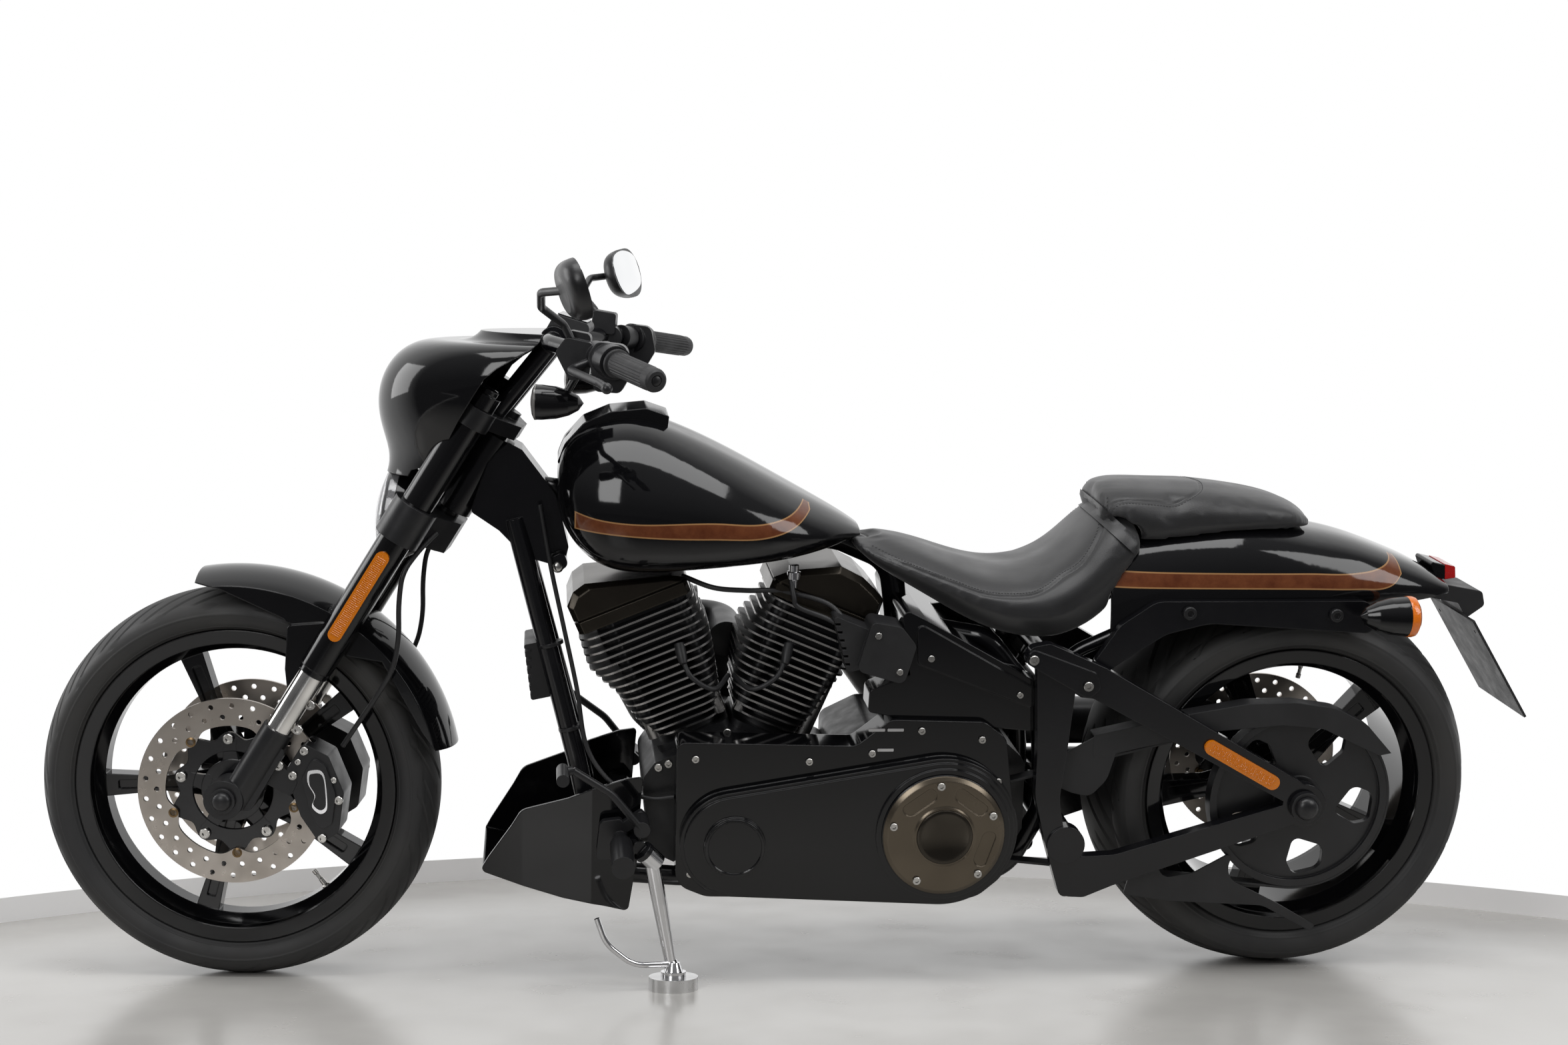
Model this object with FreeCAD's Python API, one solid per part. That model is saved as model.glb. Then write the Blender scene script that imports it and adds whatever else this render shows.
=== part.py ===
import FreeCAD, Part
import math
import os

# Black V-twin cruiser, parked on its side stand. Millimetres.
# The pieces are drawn upright and straight ahead: X rearwards from the front axle, Y to the
# rider's right, Z up from the floor. At the end the fork is turned, the whole machine is leaned
# onto its stand and the origin moves to the middle of the footprint.

V = FreeCAD.Vector

# Stance
LEAN_DEG = 11.87
STEER_DEG = -7.49
RAKE_DEG = 31.0
TRAIL = 130.0
WHEELBASE = 1710.0

# Front wheel
FRONT_R = 319.3
FRONT_AXLE_Z = 319.3
FRONT_HALF_W = 65.0
FRONT_WALL_H = 78.0
FRONT_BEAD_R = FRONT_R - FRONT_WALL_H
FRONT_BEAD_HALF = 46.0
FRONT_AXLE_R = 12.5
FRONT_HUB_R = 40.0
FRONT_HUB_HALF = 60.0
FRONT_DISC_R = 150.0
FRONT_DISC_Y = 73.0

# Rear wheel
REAR_R = 324.6
REAR_AXLE_Z = 324.6
REAR_HALF_W = 120.0
REAR_WALL_H = 96.0
REAR_BEAD_R = REAR_R - REAR_WALL_H
REAR_RISE = REAR_R - REAR_AXLE_Z
REAR_BEAD_HALF = 104.0
REAR_AXLE_R = 12.5
REAR_HUB_R = 48.0
REAR_HUB_HALF = 70.0
REAR_DISC_R = 146.0
REAR_DISC_Y = 95.0
PULLEY_R = 149.0
PULLEY_Y = -139.0
PULLEY_W = 26.0

# Shared wheel sizes
CALIPER_DRAWN_R = 150.0
SPOKES = 5
FLANGE_H = 14.0
FLANGE_T = 7.0
BARREL_T = 8.0
DISC_T = 5.0
CARRIER_T = 6.0
RUN_GAP = 0.1
SEAT_GAP = 0.3
MOVE_GAP = 5.5

# Fork
FENDER_GAP = 33.7
FENDER_DRAWN_R = 353.0
HOSE_R = 4.0
FORK_Y = 107.0
FORK_SET = 13.0
UPPER_R = 26.0
STANCHION_R = 21.5
SLIDER_R = 25.0
SLIDER_TOP = 138.0
EYE_HALF = 26.0
UPPER_BOTTOM = 252.0
UPPER_TOP = 762.0
LOWER_CLAMP = (494.0, 556.0)
UPPER_CLAMP = (706.0, 738.0)
STEM_R = 17.0
HEAD_R = 32.0

# Engine
CRANK_X = 783.0
CRANK_Z = 268.0
V_HALF_DEG = 22.5
DECK_T = 150.0
FIN_T = 3.2
FIN_START = 176.0
FIN_PITCH = 13.0
BARREL_FINS = 11
HEAD_FINS = 5
FIN_HALF = 84.0
HEAD_HALF = 66.0
ROCKER_DROP = 6.0
CASE_Y = 105.0
PRIMARY_IN = -CASE_Y
PRIMARY_OUT = -190.0
CLUTCH_X = 1115.0
CLUTCH_Z = 287.0
DERBY_R = 98.0
SPROCKET_X = 1165.0
SPROCKET_R = 52.0
BELT_T = 4.0

# Frame and side box
SIDE_Y = 152.0
TUBE_R = 16.0
DOWN_Y = 62.0
RAIL_Y = 96.0
RAIL_Z = 186.0

# Swingarm
ARM_Y = 168.0
ARM_HALF_T = 11.0
PIVOT_X = 1318.0
PIVOT_Z = 262.0

# Chin scoop
CHIN_WALL = 5.0
CHIN_LOW = 100.0
CHIN_HIGH = 420.0

# Exhaust
PIPE_Y = 232.0
PIPE_R = 22.0
PORT_T = 342.0
MUFFLER_R = 42.0

# Stand
STAND_PIVOT = V(652.0, -196.0, 252.0)
STAND_AXIS = V(-0.694, -0.169, 0.70)
STAND_PIN_R = 7.0
STAND_EYE_R = 16.0
STAND_EYE_HALF = 13.0
STAND_CAP_T = 4.0
STAND_LUG_T = 8.0
STAND_BAR_R = 11.0
FLAT_GAP = 0.5
LUG_IN = 84.0
LUG_OUT = 108.0
PUCK_R = 39.0
PUCK_T = 20.0
PUCK_X = 688.9
PUCK_Y = -220.9

# Number plate board
BOARD_TOP = (2006.0, 612.0)
BOARD_END = (2112.0, 447.0)
BOARD_T = 4.0
BOARD_HALF_W = 92.0
BOARD_BORE_R = 3.25
BOARD_BORE_Y = 73.0
BOARD_BORE_DROP = 26.0

RAKE = math.radians(RAKE_DEG)
SIN_R = math.sin(RAKE)
COS_R = math.cos(RAKE)
REAR_X = WHEELBASE


def rad(deg):
    return math.radians(deg)


def wire_xz(points, y=0.0):
    """Closed outline in a plane of constant y. A point may carry a corner radius."""
    pts = [V(p[0], y, p[1]) for p in points]
    radii = [p[2] if len(p) > 2 else 0.0 for p in points]
    return rounded_wire(pts, radii)


def rounded_wire(pts, radii, closed=True):
    """Straight runs joined by tangent arcs."""
    count = len(pts)
    starts = []
    ends = []
    arcs = []
    for i in range(count):
        here = pts[i]
        if radii[i] <= 0 or (not closed and i in (0, count - 1)):
            starts.append(here)
            ends.append(here)
            arcs.append(None)
            continue
        before = (pts[i - 1] - here).normalize()
        after = (pts[(i + 1) % count] - here).normalize()
        half = before.getAngle(after) / 2.0
        back = radii[i] / math.tan(half)
        a = here + before * back
        b = here + after * back
        mid_dir = (before + after).normalize()
        middle = here + mid_dir * (radii[i] / math.sin(half) - radii[i])
        starts.append(a)
        ends.append(b)
        arcs.append(Part.Arc(a, middle, b).toShape())
    edges = []
    for i in range(count):
        if arcs[i] is not None:
            edges.append(arcs[i])
        if i == count - 1 and not closed:
            break
        a = ends[i]
        b = starts[(i + 1) % count]
        if (a - b).Length > 1e-4:
            edges.append(Part.LineSegment(a, b).toShape())
    return Part.Wire(edges)


def slab(points, y0, y1):
    """An outline in XZ drawn out from y0 to y1."""
    face = Part.Face(wire_xz(points, y0))
    return face.extrude(V(0, y1 - y0, 0))


def both(shape):
    """The piece and its mirror image on the right side."""
    return [shape, shape.mirror(V(0, 0, 0), V(0, 1, 0))]


def cyl_y(x, z, r, y0, y1):
    low = min(y0, y1)
    return Part.makeCylinder(r, abs(y1 - y0), V(x, low, z), V(0, 1, 0))


def ring_y(x, z, r_in, r_out, y0, y1):
    return cyl_y(x, z, r_out, y0, y1).cut(cyl_y(x, z, r_in, min(y0, y1) - 1, max(y0, y1) + 1))


def rod(a, b, r, r_end=None):
    a = V(*a)
    b = V(*b)
    along = b - a
    if r_end is None or abs(r_end - r) < 1e-6:
        return Part.makeCylinder(r, along.Length, a, along)
    return Part.makeCone(r, r_end, along.Length, a, along)


def tube(points, radii, r, r_in=0.0):
    """A round bar or pipe along straight runs and tangent arcs."""
    pts = [V(*p) for p in points]
    path = rounded_wire(pts, [0.0] + list(radii) + [0.0], closed=False)
    start = pts[0]
    along = (pts[1] - pts[0]).normalize()
    profile = Part.Wire([Part.Circle(start, along, r).toShape()])
    solid = path.makePipeShell([profile], True, False)
    if r_in > 0:
        inner = Part.Wire([Part.Circle(start, along, r_in).toShape()])
        solid = solid.cut(path.makePipeShell([inner], True, False))
    return solid


def spin_y(points, x, z):
    """Revolve a (y, r) profile about the axis through (x, z) along Y."""
    pts = [V(x, p[0], z + p[1]) for p in points]
    wire = Part.makePolygon(pts + [pts[0]])
    return Part.Face(wire).revolve(V(x, 0, z), V(0, 1, 0), 360)


def loft(wires):
    return Part.makeLoft(wires, True, False)


def spline_wire(points):
    curve = Part.BSplineCurve()
    curve.interpolate(Points=[V(*p) for p in points], PeriodicFlag=True)
    return Part.Wire([curve.toShape()])


def fuse(shapes):
    if len(shapes) == 1:
        return shapes[0]
    return shapes[0].multiFuse(shapes[1:]).removeSplitter()


def cut(piece, *others):
    for other in others:
        piece = piece.cut(other)
    return piece


def fork_point(s, q, y=0.0):
    """A point by distance up the fork from the front axle, and square behind it."""
    return V(q * COS_R + s * SIN_R, y, FRONT_AXLE_Z + s * COS_R - q * SIN_R)


AXIS_SET = (FRONT_AXLE_Z * math.tan(RAKE) - TRAIL) * COS_R


# Wheels

def tyre(x, z, radius, half_w, bead_r, bead_half):
    """A closed tyre: flat crown arc, round shoulders and side walls, seated between flanges."""
    lip = bead_r + FLANGE_H
    widest = lip + 0.38 * (radius - lip) + 6
    shoulder_y = 0.78 * half_w
    shoulder_r = radius - 0.19 * half_w - 4

    def at(y, r):
        return V(x, y, z + r)

    edges = [
        Part.LineSegment(at(-bead_half, bead_r), at(-bead_half, lip)).toShape(),
        Part.Arc(at(-bead_half, lip), at(-half_w, widest), at(-shoulder_y, shoulder_r)).toShape(),
        Part.Arc(at(-shoulder_y, shoulder_r), at(0, radius), at(shoulder_y, shoulder_r)).toShape(),
        Part.Arc(at(shoulder_y, shoulder_r), at(half_w, widest), at(bead_half, lip)).toShape(),
        Part.LineSegment(at(bead_half, lip), at(bead_half, bead_r)).toShape(),
        Part.LineSegment(at(bead_half, bead_r), at(-bead_half, bead_r)).toShape(),
    ]
    return Part.Face(Part.Wire(edges)).revolve(V(x, 0, z), V(0, 1, 0), 360)


def barrel(x, z, bead_r, bead_half):
    """The rolled rim between its two flanges, with the drop in its middle."""
    seat = bead_r - SEAT_GAP
    inside = bead_half + SEAT_GAP
    outside = inside + FLANGE_T
    top = bead_r + FLANGE_H
    drop = seat - 14
    under = seat - BARREL_T
    half = [
        (bead_half - 26, drop), (bead_half - 16, seat), (inside, seat), (inside, top),
        (outside, top), (outside - 3, under), (bead_half - 14, under), (bead_half - 30, drop - BARREL_T),
    ]
    points = half + [(-y, r) for y, r in reversed(half)]
    return spin_y(points, x, z)


def spoke(x, z, angle_deg, r0, r1, widths, y_half, y_mid):
    """One cast spoke with a groove down each face."""
    w0, w1, w2 = widths
    r_mid = (r0 + r1) / 2
    points = [(r0, -w0), (r_mid, -w1), (r1, -w2), (r1, w2), (r_mid, w1), (r0, w0)]
    body = slab(points, y_mid - y_half, y_mid + y_half)
    depth = 5.0
    ga = r0 + 40
    gb = r1 - 26
    groove = [(ga, -w1 * 0.62, 3), (gb, -w1 * 0.6, 3), (gb, w1 * 0.6, 3), (ga, w1 * 0.62, 3)]
    body = cut(body, slab(groove, y_mid - y_half - 1, y_mid - y_half + depth))
    body = cut(body, slab(groove, y_mid + y_half - depth, y_mid + y_half + 1))
    body.rotate(V(0, 0, 0), V(0, 1, 0), -angle_deg)
    body.translate(V(x, 0, z))
    return body


def front_rim():
    z = FRONT_AXLE_Z
    inner = FRONT_BEAD_R - 14 - BARREL_T
    parts = [barrel(0, z, FRONT_BEAD_R, FRONT_BEAD_HALF)]
    parts.append(cyl_y(0, z, FRONT_HUB_R, -FRONT_HUB_HALF, FRONT_HUB_HALF))
    for i in range(SPOKES):
        parts.append(spoke(0, z, 111 + 72 * i, 24, inner + 6, (26, 12, 19), 15, 0))
    return cut(fuse(parts), cyl_y(0, z, FRONT_AXLE_R + RUN_GAP, -100, 100))


def rear_rim():
    z = REAR_AXLE_Z
    inner = REAR_BEAD_R - 14 - BARREL_T
    parts = [barrel(REAR_X, z, REAR_BEAD_R, REAR_BEAD_HALF)]
    parts.append(cyl_y(REAR_X, z, REAR_HUB_R, -REAR_HUB_HALF, REAR_HUB_HALF))
    for i in range(SPOKES):
        parts.append(spoke(REAR_X, z, 115 + 72 * i, 30, inner + 6, (28, 15, 24), 18, -24))
    return cut(fuse(parts), cyl_y(REAR_X, z, REAR_AXLE_R + RUN_GAP, -150, 150))


def disc(x, z, radius, y_mid, hub_face, arms, phase):
    """A brake disc: the drilled ring on its carrier, which bolts to the hub's face."""
    side = 1 if y_mid > 0 else -1
    y0 = y_mid - side * DISC_T / 2
    y1 = y_mid + side * DISC_T / 2
    parts = [ring_y(x, z, radius - 38, radius, y0, y1)]
    parts.append(ring_y(x, z, 27, 50, hub_face, y0))
    for i in range(arms):
        points = [(34, -13), (radius - 30, -8), (radius - 30, 8), (34, 13)]
        arm = slab(points, y0 - side * CARRIER_T, y0)
        arm.rotate(V(0, 0, 0), V(0, 1, 0), -(phase + 360.0 / arms * i))
        arm.translate(V(x, 0, z))
        parts.append(arm)
    return fuse(parts)


def front_discs():
    left = disc(0, FRONT_AXLE_Z, FRONT_DISC_R, -FRONT_DISC_Y, -FRONT_HUB_HALF, 5, 75)
    return Part.makeCompound(both(left))


def rear_disc():
    return disc(REAR_X, REAR_AXLE_Z, REAR_DISC_R, REAR_DISC_Y, REAR_HUB_HALF, 5, 90)


def rear_pulley():
    """The toothed belt pulley with five leaf-shaped windows."""
    x = REAR_X
    z = REAR_AXLE_Z
    y0 = PULLEY_Y - PULLEY_W / 2
    y1 = PULLEY_Y + PULLEY_W / 2
    web0 = PULLEY_Y - 6
    web1 = PULLEY_Y + 6
    body = fuse([
        ring_y(x, z, PULLEY_R - 12, PULLEY_R, y0, y1),
        cyl_y(x, z, PULLEY_R - 6, web0, web1),
        cyl_y(x, z, 46, web0, -REAR_HUB_HALF),
        cyl_y(x, z, 40, y0 + 4, web1),
    ])
    for i in range(SPOKES):
        hole = slab([(62, -20, 12), (100, -40, 14), (126, -34, 14), (128, 14, 18), (92, 26, 16)], web0 - 1, web1 + 1)
        hole.rotate(V(0, 0, 0), V(0, 1, 0), -(70 + 72 * i))
        hole.translate(V(x, 0, z))
        body = cut(body, hole)
    return cut(body, cyl_y(x, z, REAR_AXLE_R + RUN_GAP, -200, 200))


# Fork and what it carries

def fork_rod(s0, s1, q, y, r):
    return rod(fork_point(s0, q, y), fork_point(s1, q, y), r)


def fork_tubes():
    tubes = []
    for y in (-FORK_Y, FORK_Y):
        outer = fork_rod(UPPER_BOTTOM, UPPER_TOP, FORK_SET, y, UPPER_R)
        cap = fork_rod(UPPER_TOP, UPPER_TOP + 8, FORK_SET, y, UPPER_R - 8)
        lip = fork_rod(UPPER_BOTTOM - 10, UPPER_BOTTOM, FORK_SET, y, UPPER_R - 2)
        body = fuse([outer, cap, lip])
        tubes.append(cut(body, fork_rod(UPPER_BOTTOM - 11, UPPER_BOTTOM + 60, FORK_SET, y, STANCHION_R + SEAT_GAP)))
    return Part.makeCompound(tubes)


def stanchions():
    bars = [fork_rod(SLIDER_TOP - 20, UPPER_BOTTOM + 59, FORK_SET, y, STANCHION_R) for y in (-FORK_Y, FORK_Y)]
    return Part.makeCompound(bars)


def from_axle(points, grow, x=0.0, z=FRONT_AXLE_Z):
    """An outline drawn about an axle, moved in or out with the size that it follows."""
    return [(x + (p[0] - x) * grow, z + (p[1] - z) * grow) + tuple(p[2:]) for p in points]


def fork_lower(y):
    """The cast foot of one fork leg with its axle eye, caliper lugs and fender ear."""
    side = 1 if y > 0 else -1
    z = FRONT_AXLE_Z
    leg = fork_rod(0, SLIDER_TOP, FORK_SET, y, SLIDER_R)
    eye = cyl_y(0, z, 31, side * (FORK_Y - EYE_HALF), side * (FORK_Y + EYE_HALF))
    web = slab([(-8, 300, 10), (40, 300, 10), (96, 398, 8), (66, 412, 8), (6, 345, 10)], side * 90, side * 120)
    lug = slab([(40, 352, 5), (100, 322, 5), (112, 346, 5), (66, 392, 5)], side * 92, side * 108)
    body = fuse([leg, eye, web, lug])
    body = cut(body, cyl_y(0, z, FRONT_AXLE_R + 0.05, side * 60, side * 140))
    bore = fork_rod(SLIDER_TOP - 20 - SEAT_GAP, SLIDER_TOP + 5, FORK_SET, y, STANCHION_R + SEAT_GAP / 3)
    return cut(body, bore)


def fork_lowers():
    return Part.makeCompound([fork_lower(-FORK_Y), fork_lower(FORK_Y)])


def front_axle():
    z = FRONT_AXLE_Z
    inner = FORK_Y - EYE_HALF
    outer = FORK_Y + EYE_HALF
    parts = [cyl_y(0, z, FRONT_AXLE_R, -outer - 6, outer + 6)]
    for side in (-1, 1):
        parts.append(cyl_y(0, z, 18, side * (FRONT_HUB_HALF + 0.5), side * inner))
        parts.append(cyl_y(0, z, 20, side * outer, side * (outer + 6)))
    return fuse(parts)


def disc_slot(x, z, disc_r, disc_y, side):
    """The room that a disc and its carrier's arms need inside a caliper."""
    gap = MOVE_GAP + DISC_T / 2
    return cyl_y(x, z, disc_r + MOVE_GAP, side * (disc_y - gap - CARRIER_T), side * (disc_y + gap))


def front_calipers(lowers):
    """Four-piston calipers that straddle the discs, each with a stepped outer face."""
    shape = [(92, 362, 8), (120, 408, 8), (160, 388, 10), (184, 330, 12), (176, 266, 12), (146, 246, 10), (116, 290, 8)]
    face = [(118, 352, 10), (136, 386, 8), (156, 374, 10), (172, 328, 16), (166, 280, 10), (148, 268, 10), (132, 300, 12)]
    grow = FRONT_DISC_R / CALIPER_DRAWN_R
    slot_r = FRONT_DISC_R
    pieces = []
    for side in (-1, 1):
        body = slab(from_axle(shape, grow), side * 46, side * 108)
        step = slab(from_axle(face, grow), side * 107, side * 113)
        piece = fuse([body, step])
        pieces.append(cut(piece, disc_slot(0, FRONT_AXLE_Z, slot_r, FRONT_DISC_Y, side), lowers))
    return Part.makeCompound(pieces)


def clamp_plate(s0, s1, grow):
    """One triple clamp: two round eyes round the fork tubes and a bridge to the stem."""
    eyes = []
    for y in (-FORK_Y, FORK_Y):
        eyes.append(fork_rod(s0, s1, FORK_SET, y, UPPER_R + grow))
    outline = [
        (FORK_SET - 16, -FORK_Y), (FORK_SET + 22, -FORK_Y), (AXIS_SET + 30, -34),
        (AXIS_SET + 30, 34), (FORK_SET + 22, FORK_Y), (FORK_SET - 16, FORK_Y), (FORK_SET - 4, 0),
    ]
    pts = [fork_point(s0 + 4, q, y) for q, y in outline]
    face = Part.Face(Part.makePolygon(pts + [pts[0]]))
    bridge = face.extrude((fork_point(s1 - 4, 0) - fork_point(s0 + 4, 0)))
    return fuse([bridge] + eyes)


def triple_clamps(tubes):
    low = clamp_plate(LOWER_CLAMP[0], LOWER_CLAMP[1], 10)
    high = clamp_plate(UPPER_CLAMP[0], UPPER_CLAMP[1], 7)
    stem = fork_rod(LOWER_CLAMP[0] - 6, UPPER_CLAMP[1] + 8, AXIS_SET, 0, STEM_R)
    body = fuse([low, high, stem])
    bore = []
    for y in (-FORK_Y, FORK_Y):
        bore.append(fork_rod(UPPER_BOTTOM, UPPER_TOP + 30, FORK_SET, y, UPPER_R))
    body = cut(body, *bore)
    socket = fork_rod(LOWER_CLAMP[0] - 7, LOWER_CLAMP[0] + 30, AXIS_SET, 0, 8)
    return cut(body, socket)


BAR_R = 12.7
BAR_Z = 1046.0
BAR_X = 500.0
MIRROR_AT = (571.0, 430.0, 1137.0)
MIRROR_TILT = 20.0
MIRROR_TURN = 15.0


def handlebar(clamps):
    """Low drag bar on two short risers, with the bar's ends pulled back."""
    pts = [
        (679, -411, 1014), (611, -292, 1030), (BAR_X, -130, BAR_Z),
        (BAR_X, 130, BAR_Z), (611, 292, 1030), (679, 411, 1014),
    ]
    parts = [tube(pts, (120, 70, 70, 120), BAR_R)]
    hole = cyl_y(BAR_X, BAR_Z, BAR_R, -100, 100)
    for y in (-45, 45):
        foot = fork_point(UPPER_CLAMP[1] - 6, 36, y)
        head = V(BAR_X, y, BAR_Z)
        post = Part.makeCylinder(16, (head - foot).Length, foot, head - foot)
        cap = cyl_y(BAR_X, BAR_Z, 21, y - 17, y + 17)
        parts.append(cut(fuse([post, cap]), hole, clamps))
    return Part.makeCompound(parts)


def grip(side):
    a = V(679, side * 411, 1014)
    b = V(611, side * 292, 1030)
    along = (a - b).normalize()
    start = b + along * 12
    end = a + along * 2
    body = Part.makeCylinder(17, (end - start).Length, start, along)
    flange = Part.makeCylinder(21, 6, start, along)
    nose = Part.makeCone(17, 13, 6, end, along)
    hole = Part.makeCylinder(BAR_R, (end - start).Length - 4, start - along * 2, along)
    return cut(fuse([body, flange, nose]), hole)


def grips(bar):
    return Part.makeCompound([cut(grip(-1), bar), cut(grip(1), bar)])


def bar_controls(bar):
    """Switch pods, brake and clutch levers with their perches and the brake fluid box."""
    pieces = []
    for side in (-1, 1):
        along = V(68, side * 119, -16).normalize()
        inner = V(611, side * 292, 1030)
        pod = Part.makeCylinder(25, 40, inner - along * 30, along)
        housing = slab([(576, 1040, 10), (588, 1058, 10), (630, 1054, 14), (638, 1012, 14), (622, 984, 10), (584, 986, 10)],
                       side * 260, side * 288)
        perch = Part.makeCylinder(20, 26, inner - along * 62, along)
        reach = inner - along * 50
        tip = V(reach.x - 6, reach.y + side * 6, reach.z - 8)
        blade = tube([
            (tip.x, tip.y, tip.z), (tip.x - 34, tip.y + side * 22, tip.z - 12),
            (tip.x + 20, tip.y + side * 130, tip.z - 22), (tip.x + 34, tip.y + side * 172, tip.z - 26),
        ], (14, 30), 6)
        knob = Part.makeSphere(8, V(tip.x + 34, tip.y + side * 172, tip.z - 26))
        fork = slab([(524, 1040, 8), (540, 1062, 8), (580, 1054, 8), (574, 1004, 8), (546, 998, 8)], side * 238, side * 261)
        parts = [pod, housing, perch, blade, knob, fork]
        if side > 0:
            parts.append(slab([(534, 1046, 5), (538, 1083, 5), (576, 1077, 5), (574, 1042, 5)], 196, 240))
            parts.append(cyl_y(566, 1038, 19, 200, 240))
        else:
            parts.append(slab([(534, 1044, 8), (540, 1072, 8), (574, 1066, 8), (574, 1040, 6)], -240, -212))
        pieces.append(cut(fuse(parts), bar))
    return Part.makeCompound(pieces)


def mirror(side):
    """A round stem and a slanted head, turned inward and leaned so that its top is forward."""
    x, y, z = MIRROR_AT
    stem = tube([
        (552, side * 250, 1048), (536, side * 256, 1080), (508, side * 300, 1106),
        (516, side * (y - 56), 1130), (x - 17, side * (y - 17), z - 2),
    ], (16, 20, 22), 6)
    outline = ((-68, 2), (-50, 32), (5, 44), (56, 38), (70, 20), (56, -22), (-28, -42), (-60, -30))
    rows = []
    for depth, grow in ((-20, 0.62), (-6, 0.97), (6, 1.0)):
        rows.append(spline_wire([(depth, side * a * grow, b * grow) for a, b in outline]))
    head = loft(rows)
    head.rotate(V(0, 0, 0), V(0, 1, 0), -MIRROR_TILT)
    head.rotate(V(0, 0, 0), V(0, 0, 1), -side * MIRROR_TURN)
    head.translate(V(x, side * y, z))
    return fuse([stem, head])


def mirrors(*blockers):
    return Part.makeCompound([cut(mirror(-1), *blockers), cut(mirror(1), *blockers)])


def bullet(x, y, z, r, length, back):
    """A bullet lamp: a bell nose, a straight rim and a domed lens, pointing along X."""
    pts = [(0, 0), (0.10, 0.42), (0.28, 0.72), (0.52, 0.92), (0.78, 1.0), (0.90, 1.0), (0.97, 0.72), (1.0, 0)]
    wire = Part.makePolygon([V(x + back * (0.5 - p[0]) * -length, y, z + r * p[1]) for p in pts + [pts[0]]])
    return Part.Face(wire).revolve(V(x, y, z), V(1, 0, 0), 360)


def front_signals(*blockers):
    lamps = []
    for side in (-1, 1):
        lamp = bullet(526, side * 236, 964, 26, 78, -1)
        arm = rod((540, side * 236, 980), (570, side * 234, 1034), 6)
        lamps.append(cut(fuse([lamp, arm]), *blockers))
    return Part.makeCompound(lamps)


def fairing_section(x_front, z, half, depth):
    """One level of the fairing: a bowed front that sweeps back to both sides."""
    pts = [
        (x_front + depth, -half, z), (x_front + 0.50 * depth, -0.90 * half, z),
        (x_front + 0.17 * depth, -0.60 * half, z), (x_front, 0, z),
        (x_front + 0.17 * depth, 0.60 * half, z), (x_front + 0.50 * depth, 0.90 * half, z),
        (x_front + depth, half, z),
    ]
    return pts


def fairing():
    """The small bikini fairing: a bowed shell open behind, cut off along the fork."""
    rows = ((233, 830, 126), (226, 900, 150), (222, 962, 168), (244, 1010, 170), (300, 1040, 150), (380, 1056, 116))
    wall = 4.0
    outer = []
    inner = []
    for x_front, z, half in rows:
        depth = 250.0
        a = fairing_section(x_front, z, half, depth)
        b = fairing_section(x_front + wall, z - (wall if z > 1000 else 0), half - wall, depth)
        outer.append(half_ring(a))
        inner.append(half_ring(b))
    shell = cut(loft(outer), loft(inner))
    keep = [(200, 700), (285, 840), (327, 853), (366, 923), (408, 990), (427, 1006), (480, 1038), (499, 1070), (200, 1100)]
    return shell.common(slab(keep, -300, 300))


def half_ring(points):
    curve = Part.BSplineCurve()
    curve.interpolate(Points=[V(*p) for p in points])
    first = V(*points[0])
    last = V(*points[-1])
    return Part.Wire([curve.toShape(), Part.LineSegment(last, first).toShape()])


def headlamp(*blockers):
    """The round lamp below the fairing: a deep bowl with a domed glass."""
    pts = [(0, 0), (3, 40), (12, 70), (18, 76), (44, 76), (66, 66), (84, 46), (92, 0)]
    base = V(222, 0, 764)
    wire = Part.makePolygon([V(p[0], 0, p[1]) for p in pts + [pts[0]]])
    bowl = Part.Face(wire).revolve(V(0, 0, 0), V(1, 0, 0), 360)
    bowl.rotate(V(0, 0, 0), V(0, 1, 0), 6)
    bowl.translate(base)
    clear = fork_rod(0, UPPER_TOP, AXIS_SET, 0, HEAD_R + MOVE_GAP)
    return cut(bowl, clear, *blockers)


def instrument(*blockers):
    """The small round-cornered speed display between the bar clamps."""
    body = slab([(478, 1046, 8), (500, 1086, 10), (556, 1070, 10), (552, 1056, 6)], -44, 44)
    return cut(body, *blockers)


def fender_profile(half_w, r_top, r_side, r_skirt, wall):
    """A U section across the wheel: crown arc, rounded shoulders and straight skirts."""
    z = FRONT_AXLE_Z
    outer = [
        Part.LineSegment(V(0, -half_w, z + r_skirt), V(0, -half_w, z + r_side)).toShape(),
        Part.Arc(V(0, -half_w, z + r_side), V(0, 0, z + r_top), V(0, half_w, z + r_side)).toShape(),
        Part.LineSegment(V(0, half_w, z + r_side), V(0, half_w, z + r_skirt)).toShape(),
        Part.LineSegment(V(0, half_w, z + r_skirt), V(0, half_w - wall, z + r_skirt)).toShape(),
        Part.LineSegment(V(0, half_w - wall, z + r_skirt), V(0, half_w - wall, z + r_side - 1)).toShape(),
        Part.Arc(V(0, half_w - wall, z + r_side - 1), V(0, 0, z + r_top - wall), V(0, wall - half_w, z + r_side - 1)).toShape(),
        Part.LineSegment(V(0, wall - half_w, z + r_side - 1), V(0, wall - half_w, z + r_skirt)).toShape(),
        Part.LineSegment(V(0, wall - half_w, z + r_skirt), V(0, -half_w, z + r_skirt)).toShape(),
    ]
    return Part.Face(Part.Wire(outer))


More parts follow.
